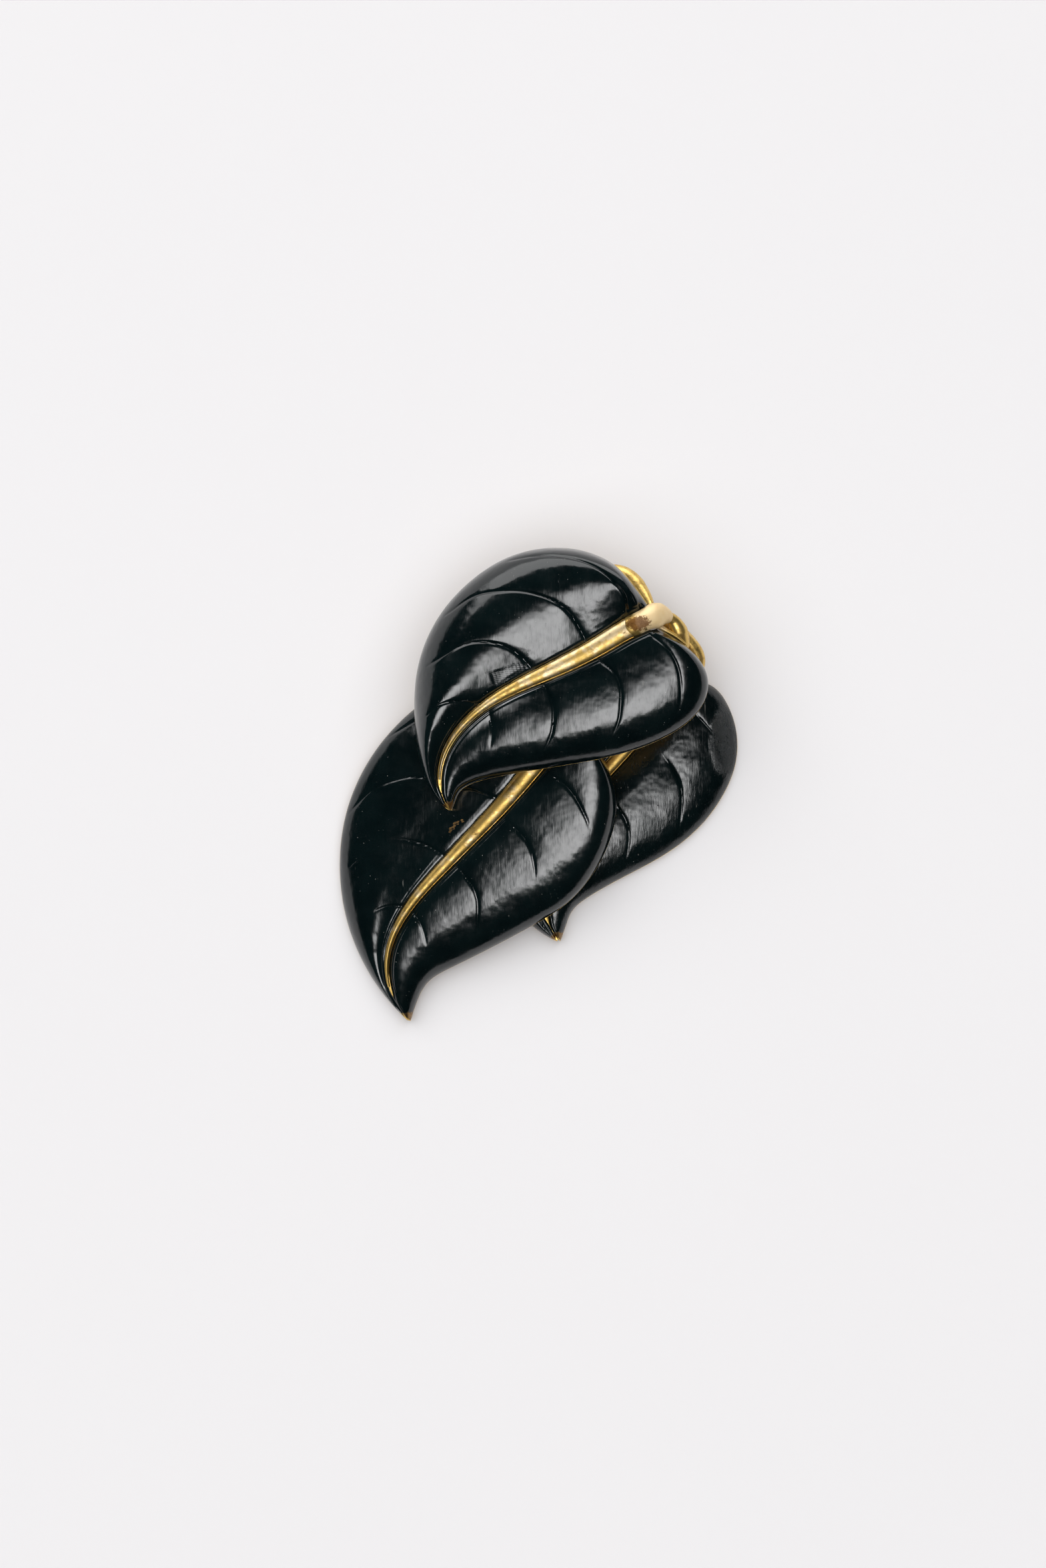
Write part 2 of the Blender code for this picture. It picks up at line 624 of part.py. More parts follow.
def make_pin(carrier, span):
    """The pin: an eye that turns on the rivet, and a tapered wire with a sharp point."""
    origin = (0, 0, PIN_HEIGHT)
    half = KNUCKLE_WIDTH / 2
    eye = prism(circle_points(KNUCKLE_RADIUS, centre=(0, PIN_HEIGHT)), (-half, half), 1)
    pin = add_part("pin_stem", eye, "steel", carrier, origin)
    start = KNUCKLE_RADIUS - EYE_OVERLAP
    length = span + PIN_OVERHANG - start
    rings = []
    for share, radius in PIN_TAPER:
        rings.append(np.insert(circle_points(radius, PIN_SIDES), 0, start + share * length, axis=1))
    combine(pin, closed_tube(np.array(rings)), "UNION")
    combine(pin, prism(circle_points(KNUCKLE_BORE), (-KNUCKLE_WIDTH, KNUCKLE_WIDTH), 1), "DIFFERENCE")


def slotted_ring(outer, bore, slot):
    """A ring's outline with a slot through its lower side."""
    inner_turn = math.degrees(math.asin(slot / 2 / bore))
    outer_turn = math.degrees(math.asin(slot / 2 / outer))
    outside = circle_points(outer, 22, -90 + outer_turn, 360 - 2 * outer_turn)
    inside = circle_points(bore, 22, -90 + inner_turn, 360 - 2 * inner_turn)
    return outside + inside[::-1]


def make_catch(carrier, span):
    """The catch: a slotted block, and a slotted roller with a lever that turns inside it."""
    origin = (span, 0, PIN_HEIGHT)
    side = CATCH_WIDTH / 2
    half_slot = PIN_SLOT / 2
    turn = math.degrees(math.asin(half_slot / CATCH_BORE))
    bore = circle_points(CATCH_BORE, 22, -90 + turn, 360 - 2 * turn, (0, PIN_HEIGHT))
    block = [(half_slot, 0), (side, 0), (side, FITTING_TOP), (-side, FITTING_TOP)]
    block += [(-side, 0), (-half_slot, 0)]
    length = (span - CATCH_LENGTH / 2, span + CATCH_LENGTH / 2)
    add_part("catch_base", prism(block + bore[::-1], length, 0), "nickel", carrier, (span, 0, 0))
    first = -CATCH_LENGTH / 2 - ROLLER_PROUD
    ring = slotted_ring(ROLLER_RADIUS, ROLLER_BORE, PIN_SLOT)
    vertices, faces = prism(ring, (first, first + ROLLER_LENGTH), 0)
    roller = add_part("catch_roller", (vertices + np.array(origin), faces), "nickel", carrier, origin)
    inner, outer = ROLLER_RADIUS - LEVER_ROOT, LEVER_REACH
    thick = LEVER_THICKNESS / 2
    lever = np.array([(inner, -thick), (outer, -thick), (outer, thick), (inner, thick)])
    swing = math.radians(LEVER_ANGLE)
    turned = lever @ np.array([[math.cos(swing), math.sin(swing)], [-math.sin(swing), math.cos(swing)]])
    last = first + ROLLER_LENGTH
    combine(roller, prism(turned, (last - LEVER_WIDTH, last), 0), "UNION")


def main():
    for old in list(bpy.data.objects):
        bpy.data.objects.remove(old)
    leaves = make_leaves()
    make_stems()
    make_tie_posts(leaves)
    make_back(leaves)


main()
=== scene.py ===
"""Looks for a brooch of three enamelled leaves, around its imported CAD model.

Lengths here are millimetres, apart from the lights', the floor's and the camera's, which are metres.
"""

import math

import bmesh
import bpy
import numpy as np
from mathutils import Matrix, Vector


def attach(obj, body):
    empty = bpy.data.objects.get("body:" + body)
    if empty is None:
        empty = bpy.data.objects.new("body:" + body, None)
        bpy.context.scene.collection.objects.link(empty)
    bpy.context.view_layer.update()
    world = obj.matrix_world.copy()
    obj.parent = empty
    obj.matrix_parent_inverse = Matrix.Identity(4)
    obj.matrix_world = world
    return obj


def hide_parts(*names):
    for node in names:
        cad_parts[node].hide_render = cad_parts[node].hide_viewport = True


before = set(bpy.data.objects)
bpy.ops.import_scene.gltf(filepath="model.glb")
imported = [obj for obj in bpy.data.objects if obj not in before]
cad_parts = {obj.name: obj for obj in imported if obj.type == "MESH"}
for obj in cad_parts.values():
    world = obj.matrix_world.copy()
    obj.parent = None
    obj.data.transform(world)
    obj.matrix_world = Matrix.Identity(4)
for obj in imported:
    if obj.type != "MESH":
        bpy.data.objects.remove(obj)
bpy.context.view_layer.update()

MM = 0.001

# ---------------------------------------------------------------- the leaves' surfaces, close to the CAD's

# How finely each surface is divided.
STATION_ROWS = 400
LOBE_COLUMNS = 72
BACK_COLUMNS = 7
CASTING_ROWS = 130
CASTING_COLUMNS = 15
INSIDE_COLUMNS = 12
RIB_ROWS = 220
RIB_SIDES = 17
PLACE_SAMPLES = 4000
CURL_SIDES = 28
CURL_ROWS = 90
CURL_SAMPLES = 500
VEIN_SAMPLES = 160
VEIN_STRIDE = 4

# The layers, and where along a leaf the glass, the midrib and the bare tip end.
ENAMEL_DEPTH = 0.5
CASTING_DEPTH = 0.64
BACK_DEPTH = 1.6
GLASS_TUCK = 0.05
LIP_HEIGHT = 0.35
LIP_FOOT = 0.23
SHELL_EDGE = 0.975
SOLDER_GAP = 0.12
RIB_LAST = 0.925
GLASS_END = 0.984
TIP_START = 0.978
TIP_END = 0.99
CREASE_START = 0.93
CREASE_HALF = 0.03

# The midrib's rounded top.
RIB_SHOULDER = 0.1
RIB_CROWN = 0.3
RIB_ROUNDNESS = 0.35

# A lobe's cross-section and its rulings.
CREST_ROW = 0.4
TIP_RISE = 1.5
FULL_WIDTH = 13.0
NOTCH_SHARE = 0.55
NOTCH_FADE = 8
BULGE_FADE = 0.7
SIDE_ROOM = 0.6
UPRIGHT_ROOM = 0.8
MIDRIB_PACE = 1.55
DIRECTION_STEP = 0.004
VALLEY_FADE = 2.0
REACH_GROWTH = 0.6

LEAVES = {
    "top_leaf": {
        "midrib": [(15.9, 24.8), (13.6, 23.7), (9.2, 21.1), (1.2, 17.0), (-6.8, 12.9), (-10.8, 9.7),
                   (-13.8, 5.5), (-14.8, 1.4), (-14.2, -1.9), (-13.1, -3.9)],
        "outer": [(16.3, 27.3), (14.5, 29.9), (11.2, 33.2), (6.8, 35.2), (2.2, 35.7), (-3.8, 34.6),
                  (-9.8, 31.1), (-15.3, 24.9), (-18.1, 17.9), (-18.6, 9.9), (-17.1, 1.4), (-14.9, -2.3),
                  (-13.1, -3.9)],
        "inner": [(18.1, 23.6), (20.0, 22.4), (23.2, 19.9), (25.3, 15.8), (24.2, 11.7), (20.2, 8.1),
                  (13.2, 5.1), (4.2, 3.2), (-4.8, 1.7), (-9.4, 0.6), (-11.8, -0.8), (-12.6, -2.5),
                  (-13.1, -3.9)],
        "rim_pace": {"outer": 0.65, "inner": 0.5},
        "bulge": {"outer": 0.5, "inner": 0.5},
        "crest_reach": {"outer": 0.36, "inner": 0.16},
        "edge_power": {"outer": 2.2, "inner": 2.0},
        "rim_plane": (10.75, 0.07, -0.02),
        "rise": {"outer": 6.8, "inner": 5.0},
        "valley_share": 0.79,
        "rib_width": (3.0, 2.35, 1.15, 0.25),
        "rib_end": 0.9,
    },
    "left_leaf": {
        "midrib": [(4.4, 9.7), (-0.8, 2.9), (-6.8, -4.1), (-10.6, -8.1), (-14.4, -12.1), (-18.0, -16.1),
                   (-20.8, -20.1), (-22.5, -24.1), (-22.9, -27.6), (-21.7, -32.4), (-19.4, -35.7)],
        "outer": [(3.6, 11.9), (0.7, 16.1), (-4.3, 17.7), (-10.8, 16.4), (-18.8, 11.6), (-24.8, 5.1),
                  (-28.9, -3.6), (-30.0, -12.1), (-29.1, -19.6), (-26.2, -27.1), (-22.5, -32.5),
                  (-19.4, -35.7)],
        "inner": [(5.9, 9.0), (8.6, 6.2), (10.7, 1.9), (11.7, -2.4), (10.7, -8.1), (8.2, -13.1),
                  (4.0, -17.8), (-0.8, -20.9), (-7.3, -24.4), (-13.3, -27.4), (-16.8, -29.7),
                  (-18.3, -32.4), (-19.4, -35.7)],
        "rim_pace": {"outer": 0.8, "inner": 0.5},
        "bulge": {"outer": 0.35, "inner": 0.5},
        "crest_reach": {"outer": 0.3, "inner": 0.1},
        "edge_power": {"outer": 2.2, "inner": 1.7},
        "rim_plane": (4.6, 0.125, 0.045),
        "rise": {"outer": 4.6, "inner": 5.2},
        "valley_share": 0.98,
        "rib_width": (2.8, 2.2, 1.35, 0.3),
        "rib_end": 0.9,
    },
    "right_leaf": {
        "midrib": [(19.2, 13.4), (12.7, 5.1), (10.2, 2.3), (6.2, -3.1), (2.7, -9.1), (0.8, -15.1),
                   (1.1, -19.6), (3.2, -23.6)],
        "outer": [(17.4, 14.6), (13.2, 13.2), (7.2, 8.1), (1.2, 0.9), (-2.8, -7.1), (-3.8, -14.1),
                  (-2.6, -18.9), (0.1, -21.9), (3.2, -23.6)],
        "inner": [(21.0, 13.3), (23.2, 15.7), (26.1, 15.2), (28.5, 12.4), (29.9, 7.9), (29.6, 2.9),
                  (27.8, -1.4), (24.2, -6.2), (19.2, -10.2), (13.2, -13.5), (7.7, -16.6), (5.1, -18.8),
                  (4.0, -21.4), (3.2, -23.6)],
        "rim_pace": {"outer": 0.9, "inner": 0.42},
        "bulge": {"outer": 0.1, "inner": 0.5},
        "crest_reach": {"outer": 0.4, "inner": 0.18},
        "edge_power": {"outer": 2.2, "inner": 1.8},
        "rim_plane": (0.6, -0.02, 0.0),
        "rise": {"outer": 3.6, "inner": 4.0},
        "valley_share": 0.72,
        "rib_width": (1.9, 1.7, 1.1, 0.3),
        "rib_end": 0.9,
    },
}

# The carved side veins of each lobe, from the midrib outwards, with how strong each one is.
VEINS = {
    ("top_leaf", "outer"): [
        (1.0, [(13.2, 25.9), (12.8, 27.9), (11.2, 30.4), (8.2, 32.9), (4.2, 34.2), (-0.8, 34.4),
               (-4.8, 33.6)]),
        (1.0, [(7.0, 21.7), (5.2, 24.9), (3.2, 26.9), (0.2, 28.4), (-2.8, 29.1), (-6.2, 29.1), (-9.8, 28.4),
               (-12.8, 26.4), (-14.2, 25.4)]),
        (1.0, [(-1.2, 17.7), (-2.8, 19.4), (-4.8, 20.7), (-7.2, 21.4), (-10.2, 21.4), (-13.2, 20.2),
               (-15.2, 18.9), (-16.8, 17.9)]),
        (0.7, [(-8.9, 12.1), (-10.8, 12.5), (-12.8, 12.6), (-14.8, 12.1), (-16.2, 11.1), (-16.9, 10.4)]),
    ],
    ("top_leaf", "inner"): [
        (0.6, [(16.8, 22.4), (19.2, 20.4), (20.8, 17.4), (21.2, 14.4), (20.8, 11.4), (19.8, 9.9)]),
        (0.8, [(9.2, 18.6), (11.2, 16.9), (12.2, 14.4), (12.2, 11.9), (11.8, 9.4), (11.1, 7.9)]),
        (0.8, [(0.8, 14.9), (1.9, 12.9), (2.2, 10.4), (1.9, 7.9), (0.8, 5.4)]),
        (0.6, [(-7.2, 9.9), (-7.0, 8.4), (-7.2, 5.9)]),
    ],
    ("left_leaf", "outer"): [
        (0.8, [(-6.8, -1.6), (-10.8, -0.1), (-14.8, 0.7), (-18.8, 1.4), (-23.2, 0.4), (-24.8, -0.3),
               (-26.8, -2.1), (-28.8, -4.3)]),
        (0.8, [(-14.8, -10.1), (-16.8, -8.9), (-18.8, -8.3), (-20.8, -8.0), (-23.8, -8.1)]),
        (0.5, [(-27.6, -11.1), (-28.6, -12.1)]),
        (0.6, [(-20.2, -18.1), (-22.8, -18.1), (-24.8, -18.9)]),
        (0.7, [(-18.8, 9.9), (-23.2, 7.1)]),
    ],
    ("left_leaf", "inner"): [
        (0.9, [(2.2, 1.4), (4.2, -0.1), (6.0, -2.6), (7.7, -6.1)]),
        (0.8, [(-3.8, -6.1), (-1.8, -8.3), (-0.8, -11.1), (-0.5, -13.6)]),
        (0.7, [(-11.8, -12.6), (-10.2, -14.6), (-9.2, -17.1), (-9.2, -20.1), (-9.3, -23.1)]),
        (0.6, [(-18.9, -18.9), (-17.9, -20.3), (-17.1, -22.6), (-16.9, -23.9)]),
    ],
    ("right_leaf", "inner"): [
        (0.8, [(24.1, 10.4), (26.8, 7.4)]),
        (0.7, [(26.8, 5.9), (28.1, 1.9)]),
        (0.9, [(19.6, 3.4), (21.1, 0.9), (21.6, -2.6), (21.2, -6.1)]),
        (0.8, [(11.8, -3.1), (13.1, -5.1), (13.6, -8.3), (13.1, -11.1)]),
    ],
    ("right_leaf", "outer"): [],
}
# Short tool marks, as start and end points, and places where the glass is rubbed down to the metal.
CHATTER = {
    ("top_leaf", "outer"): [
        ((-6.95 + 0.52 * i, 16.9 + 0.17 * i), (-6.45 + 0.52 * i, 15.2 + 0.2 * i)) for i in range(10)],
}
BARE_MARKS = {
    ("left_leaf", "outer"): [((-13.2, -6.2), (-13.3, -6.9)), ((-12.6, -5.5), (-12.75, -6.3)),
                             ((-12.1, -5.3), (-12.15, -5.6)), ((-11.5, -5.05), (-11.4, -5.3))],
    ("top_leaf", "outer"): [((13.1, 26.9), (13.25, 26.4))],
}
CHATTER_DEPTH = 0.1
CHATTER_HALF = 0.13
BARE_HALF = 0.17
# A vein's groove, the slope of the skin to each side of it, and how both fade at its ends.
GROOVE_DEPTH = 0.23
GROOVE_HALF = 0.17
GROOVE_SHARPNESS = 1.5
GROOVE_FADE = 0.35
GROOVE_BEYOND = 0.8
GROOVE_START = (-0.02, 0.04)
PILLOW_DEPTH = 0.3
PILLOW_REACH = (0.8, 2.2)
PILLOW_FADE = 1.1
PILLOW_BEYOND = 2.5
CALM_RIM = (0.02, 0.16)
# How the glass dips beside the midrib: depth and reach, then depth, place and reach of a fine second line.
RIB_EDGE = (0.25, 0.28)
RIB_TRACE = (0.07, 0.65, 0.16)


def smooth_line(points, samples=400):
    """A natural cubic spline through the points, as points evenly spaced along it."""
    knots = np.array(points, float)
    at = np.concatenate([[0], np.cumsum(np.linalg.norm(np.diff(knots, axis=0), axis=1))])
    gaps = np.diff(at)
    matrix = np.eye(len(knots))
    right = np.zeros_like(knots)
    for i in range(1, len(knots) - 1):
        matrix[i, i - 1:i + 2] = gaps[i - 1], 2 * (gaps[i - 1] + gaps[i]), gaps[i]
        right[i] = 6 * ((knots[i + 1] - knots[i]) / gaps[i] - (knots[i] - knots[i - 1]) / gaps[i - 1])
    bend = np.linalg.solve(matrix, right)
    where = np.linspace(0, at[-1], samples)
    span = np.clip(np.searchsorted(at, where, side="right") - 1, 0, len(gaps) - 1)
    before = ((at[span + 1] - where) / gaps[span])[:, None]
    after = 1 - before
    cubic = (before**3 - before) * bend[span] + (after**3 - after) * bend[span + 1]
    line = before * knots[span] + after * knots[span + 1] + cubic * gaps[span, None] ** 2 / 6
    length = np.concatenate([[0], np.cumsum(np.linalg.norm(np.diff(line, axis=0), axis=1))])
    return along(line, np.linspace(0, 1, samples), length / length[-1])


def along(line, share, shares=None):
    """The line's points at these shares of its length."""
    if shares is None:
        shares = np.linspace(0, 1, len(line))
    return np.stack([np.interp(share, shares, line[:, k]) for k in range(line.shape[1])], axis=-1)


def sunk(depth, room):
    """A layer's depth, which eases off where there is little room."""
    return room * (1 - np.exp(-depth / room))


def ramp(value, low, high):
    """A smooth step from 0 at low to 1 at high."""
    share = np.clip((value - low) / (high - low), 0, 1)
    return share * share * (3 - 2 * share)


class Leaf:
    """A leaf's outer skin, and the layers below it, as a function of the place along it and across a lobe."""

    def __init__(self, name, midrib, outer, inner, rim_pace, bulge, crest_reach, edge_power, rim_plane, rise,
                 valley_share, rib_width, rib_end):
        self.name = name
        self.midrib = smooth_line(midrib)
        self.rim = {"outer": smooth_line(outer), "inner": smooth_line(inner)}
        self.turn = {"outer": -1.0, "inner": 1.0}
        self.rim_pace = rim_pace
        self.bulge = bulge
        self.crest_reach = crest_reach
        self.edge_power = edge_power
        self.rim_plane = rim_plane
        self.rise = rise
        self.valley_share = valley_share
        self.rib_width = rib_width
        self.rib_end = rib_end
        self.tip = np.array(midrib[-1])

    def plane(self, xy):
        height, slope_x, slope_y = self.rim_plane
        return height + slope_x * xy[..., 0] + slope_y * xy[..., 1]

    def middle(self, s):
        """The midrib's centre line, and its sideways direction towards the inner lobe."""
        share = s**MIDRIB_PACE
        step = along(self.midrib, share + DIRECTION_STEP) - along(self.midrib, share - DIRECTION_STEP)
        step /= np.linalg.norm(step, axis=-1, keepdims=True)
        return along(self.midrib, share), np.stack([-step[..., 1], step[..., 0]], axis=-1)

    def half_rib(self, s, gap=0.0):
        places = np.linspace(0, self.rib_end, len(self.rib_width))
        halves = [width / 2 + gap for width in self.rib_width]
        return np.interp(s**MIDRIB_PACE, [*places, CREASE_START, 1.0], [*halves, CREASE_HALF, 0.0])

    def ruling(self, side, s):
        """A ruling's start beside the midrib and its end on the rim."""
        centre, sideways = self.middle(s)
        start = centre + sideways * self.turn[side] * self.half_rib(s, SOLDER_GAP)[..., None]
        return start, along(self.rim[side], s ** self.rim_pace[side])

    def crest(self, side, s):
        """How high a lobe's crest stands above the rim's plane."""
        start, end = self.ruling(side, s)
        width = np.linalg.norm(end - start, axis=-1)
        share = np.sin(np.minimum(width / FULL_WIDTH, 1) * math.pi / 2)
        share = np.minimum(np.hypot(share, NOTCH_SHARE * (1 - s) ** NOTCH_FADE), 1)
        return TIP_RISE + (self.rise[side] - TIP_RISE) * share

    def valley(self, s):
        """How high the leaf stands beside its midrib."""
        share = self.valley_share + (1 - self.valley_share) * s**VALLEY_FADE
        return share * (self.crest("outer", s) + self.crest("inner", s)) / 2

    def drop(self, s, depth):
        return sunk(depth, UPRIGHT_ROOM * self.valley(s))

    def point(self, side, s, across, depth=0.0, lip=0.0):
        """The place at that depth below the skin, for arrays s and across that broadcast together."""
        s, across, depth = np.broadcast_arrays(s, across, depth)
        start, end = self.ruling(side, s)
        reach = end - start
        width = np.linalg.norm(reach, axis=-1, keepdims=True)
        end = end - reach / width * sunk(depth[..., None], SIDE_ROOM * width)
        base_side = np.stack([reach[..., 1], -reach[..., 0]], axis=-1) * -self.turn[side]
        bulge = self.bulge[side] * np.sin(math.pi * np.clip(s, 0.001, 0.999)) ** BULGE_FADE
        control = (start + end) / 2 + base_side * bulge[..., None]
        drop = self.drop(s, depth)
        low, high = self.valley(s) - drop, self.crest(side, s) - drop
        angle = np.clip((across - CREST_ROW) / (1 - CREST_ROW), 0, 1) * np.arccos(lip / high)
        reached = self.crest_reach[side] * (1 + REACH_GROWTH * s**2)
        share = reached * np.minimum(across / CREST_ROW, 1)
        share = (share + (1 - reached) * np.sin(angle) ** (2 / self.edge_power[side]))[..., None]
        xy = (1 - share) ** 2 * start + 2 * share * (1 - share) * control + share**2 * end
        rising = low + (high - low) * np.sin(np.minimum(across / CREST_ROW, 1) * math.pi / 2)
        falling = high * np.cos(angle)
        z = self.plane(xy) + np.where(across < CREST_ROW, rising, falling)
        return np.concatenate([xy, z[..., None]], axis=-1)

    def rows(self, side, first, last, count):
        """Places along the leaf whose rulings are evenly spaced."""
        s = np.linspace(first, last, PLACE_SAMPLES)
        start, end = self.ruling(side, s)
        moved = np.maximum(*(np.linalg.norm(np.diff(line, axis=0), axis=1) for line in (start, end)))
        length = np.concatenate([[0], np.cumsum(moved)])
        return np.interp(np.linspace(0, length[-1], count), length, s)


def vein_relief(leaf, side, xy):
    """How far the carved veins sink the skin at these places."""
    relief = np.zeros(xy.shape[:-1])
    for strength, points in VEINS[(leaf.name, side)]:
        line = smooth_line(points, VEIN_SAMPLES)
        length = np.linalg.norm(np.diff(line, axis=0), axis=1).sum()
        step = np.gradient(line, axis=0)
        step /= np.linalg.norm(step, axis=1, keepdims=True)
        flat = xy.reshape(-1, 2)
        coarse = line[None, ::VEIN_STRIDE, :]
        near = np.argmin(((flat[:, None, :] - coarse) ** 2).sum(-1), axis=1) * VEIN_STRIDE
        for _ in range(2):
            gap = flat - line[near]
            ahead = (gap * step[near]).sum(-1)
            moved = np.round(ahead / length * (len(line) - 1)).astype(int)
            near = np.clip(near + moved, 0, len(line) - 1)
        gap = flat - line[near]
        ahead = (gap * step[near]).sum(-1)
        aside = step[near, 0] * gap[:, 1] - step[near, 1] * gap[:, 0]
        middle = len(line) // 2
        to_tip = leaf.tip - line[middle]
        sign = np.sign(step[middle, 0] * to_tip[1] - step[middle, 1] * to_tip[0])
        aside = (aside * sign).reshape(relief.shape)
        beyond = np.abs(ahead).reshape(relief.shape)
        place = (near / (len(line) - 1)).reshape(relief.shape)
        ends = np.exp(-(beyond / GROOVE_BEYOND) ** 2) * ramp(place, *GROOVE_START)
        fade = (1 - place) ** GROOVE_FADE
        cut = np.exp(-(np.abs(aside) / GROOVE_HALF) ** GROOVE_SHARPNESS) * ends * fade * strength
        pillow = np.where(aside > 0, np.exp(-aside / PILLOW_REACH[1]), np.exp(aside / PILLOW_REACH[0]))
        wide = np.exp(-(beyond / PILLOW_BEYOND) ** 2) * (1 - place) ** PILLOW_FADE
        relief += GROOVE_DEPTH * cut + PILLOW_DEPTH * strength * pillow * wide
    return relief


def near_strokes(xy, strokes, half):
    """How close each place is to a short stroke, from 0 to 1."""
    closeness = np.zeros(xy.shape[:-1])
    for start, end in strokes:
        start, reach = np.array(start), np.subtract(end, start)
        share = np.clip(((xy - start) @ reach) / (reach @ reach), 0, 1)[..., None]
        away = np.linalg.norm(xy - start - share * reach, axis=-1)
        closeness = np.maximum(closeness, np.exp(-(away / half) ** 2))
    return closeness


def normals_of(grid):
    """A grid's unit normals, upwards."""
    down = np.gradient(grid, axis=0)
    right = np.gradient(grid, axis=1)
    normal = np.cross(down, right)
    normal /= np.linalg.norm(normal, axis=-1, keepdims=True) + 1e-12
    return normal * np.where(normal[..., 2:].mean() < 0, -1, 1)


# ---------------------------------------------------------------- meshes


SHARP_ANGLE = math.radians(50)


def tube_faces(rows, columns):
    """The faces of a closed tube through rings of points, with a flat end at each end."""
    number = np.arange(rows * columns).reshape(rows, columns)
    around = np.roll(number, -1, axis=1)
    quads = np.stack([number[:-1], number[1:], around[1:], around[:-1]], axis=-1).reshape(-1, 4).tolist()
    return quads + [number[0, ::-1].tolist(), number[-1].tolist()]


def add_piece(name, vertices, faces, material, replaced, values=None):
    """A piece that rides on the brooch's body and stands for CAD nodes."""
    mesh = bpy.data.meshes.new(name)
    mesh.from_pydata((np.asarray(vertices) * MM).tolist(), [], faces)
    mesh.validate()
    for key, value in (values or {}).items():
        attribute = mesh.attributes.new(key, "FLOAT", "POINT")
        attribute.data.foreach_set("value", np.asarray(value, np.float32).ravel())
    mesh.materials.append(material)
    piece = bpy.data.objects.new(name, mesh)
    bpy.context.scene.collection.objects.link(piece)
    turned_out(piece)
    mesh.shade_smooth()
    mesh.set_sharp_from_angle(angle=SHARP_ANGLE)
    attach(piece, "brooch")
    if replaced:
        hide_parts(*replaced)
    return piece


def turned_out(piece):
    """Turns a closed mesh's faces outwards."""
    shape = bmesh.new()
    shape.from_mesh(piece.data)
    if shape.calc_volume(signed=True) < 0:
        bmesh.ops.reverse_faces(shape, faces=shape.faces)
    shape.to_mesh(piece.data)
    shape.free()


def lobe(leaf, side, material):
    """The glass over one lobe, with its carved veins and a rounded edge beside the midrib."""
    s = leaf.rows(side, 0.0, GLASS_END, STATION_ROWS)[:, None]
    across = np.linspace(0, 1, LOBE_COLUMNS)[None, :]
    front = leaf.point(side, s, across, 0.0, LIP_HEIGHT)
    xy = front[..., :2]
    key = (leaf.name, side)
    aside = np.linalg.norm(xy - xy[:, :1], axis=-1)
    at_rib = RIB_EDGE[0] * np.exp(-(aside / RIB_EDGE[1]) ** 2)
    trace = RIB_TRACE[0] * np.exp(-((aside - RIB_TRACE[1]) / RIB_TRACE[2]) ** 2)
    calm = ramp(1 - across, *CALM_RIM)
    carved = CHATTER_DEPTH * near_strokes(xy, CHATTER.get(key, []), CHATTER_HALF)
    carved += vein_relief(leaf, side, xy)
    bare = near_strokes(xy, BARE_MARKS.get(key, []), BARE_HALF)
    sink = np.minimum(carved * calm + at_rib + trace, ENAMEL_DEPTH)
    front = front - normals_of(front) * sink[..., None]
    back_across = np.linspace(1, 0, BACK_COLUMNS)[None, :]
    back = leaf.point(side, s, back_across, ENAMEL_DEPTH + GLASS_TUCK, LIP_HEIGHT)
    rings = np.concatenate([front, back], axis=1)
    to_tip = np.linalg.norm(rings[..., :2] - leaf.tip, axis=-1)
    bare = np.concatenate([bare, np.zeros(back.shape[:2])], axis=1)
    name = f"{leaf.name}_{side}_glass"
    return add_piece(name, rings.reshape(-1, 3), tube_faces(*rings.shape[:2]), material,
                     [f"{leaf.name}_{side}_enamel"], {"to_tip": to_tip, "bare": bare})


def shell(leaf, material):
    """The gilt casting under a leaf's glass."""
    s = leaf.rows("outer", 0.0, TIP_END, CASTING_ROWS)[:, None]
    depth = CASTING_DEPTH * (1 - ramp(s, TIP_START, GLASS_END))
    edge = np.ones((1, 1))
    across = np.linspace(SHELL_EDGE, 0, CASTING_COLUMNS)[None, :]
    inside = np.linspace(1.0, 0, INSIDE_COLUMNS)[None, :]
    front, back = [], []
    for side in ("outer", "inner"):
        layers = [leaf.point(side, s, edge), leaf.point(side, s, edge, 0.0, LIP_FOOT),
                  leaf.point(side, s, edge, depth, LIP_FOOT), leaf.point(side, s, across, depth, LIP_HEIGHT)]
        front.append(np.concatenate(layers, axis=1))
        back.append(leaf.point(side, s, inside, BACK_DEPTH))
    rings = np.concatenate([front[0], front[1][:, ::-1], back[1], back[0][:, ::-1]], axis=1)
    return add_piece(f"{leaf.name}_shell", rings.reshape(-1, 3), tube_faces(*rings.shape[:2]), material,
                     [f"{leaf.name}_casting"])


def rib(leaf, material):
    """The half-round gilt rod between a leaf's two lobes."""
    s = leaf.rows("outer", 0.0, RIB_LAST, RIB_ROWS)
    centre, sideways = leaf.middle(s)
    half = leaf.half_rib(s)
    height = leaf.plane(centre) + leaf.valley(s)
    foot = height - leaf.drop(s, ENAMEL_DEPTH)
    crown = RIB_CROWN + RIB_ROUNDNESS * half
    turns = np.linspace(0, math.pi, RIB_SIDES)[None, :]
    aside = np.concatenate([np.ones((len(s), 1)), np.broadcast_to(np.cos(turns), (len(s), RIB_SIDES)),
                            -np.ones((len(s), 1))], axis=1)
    over = (height - RIB_SHOULDER)[:, None] + crown[:, None] * np.sin(turns)
    z = np.concatenate([foot[:, None], over, foot[:, None]], axis=1)
    xy = centre[:, None] + sideways[:, None] * (half[:, None] * aside)[..., None]
    rings = np.concatenate([xy, z[..., None]], axis=-1)
    return add_piece(f"{leaf.name}_rib", rings.reshape(-1, 3), tube_faces(*rings.shape[:2]), material,
                     [f"{leaf.name}_midrib"])


CROWDING = 0.6
CURL_STEP = 0.01


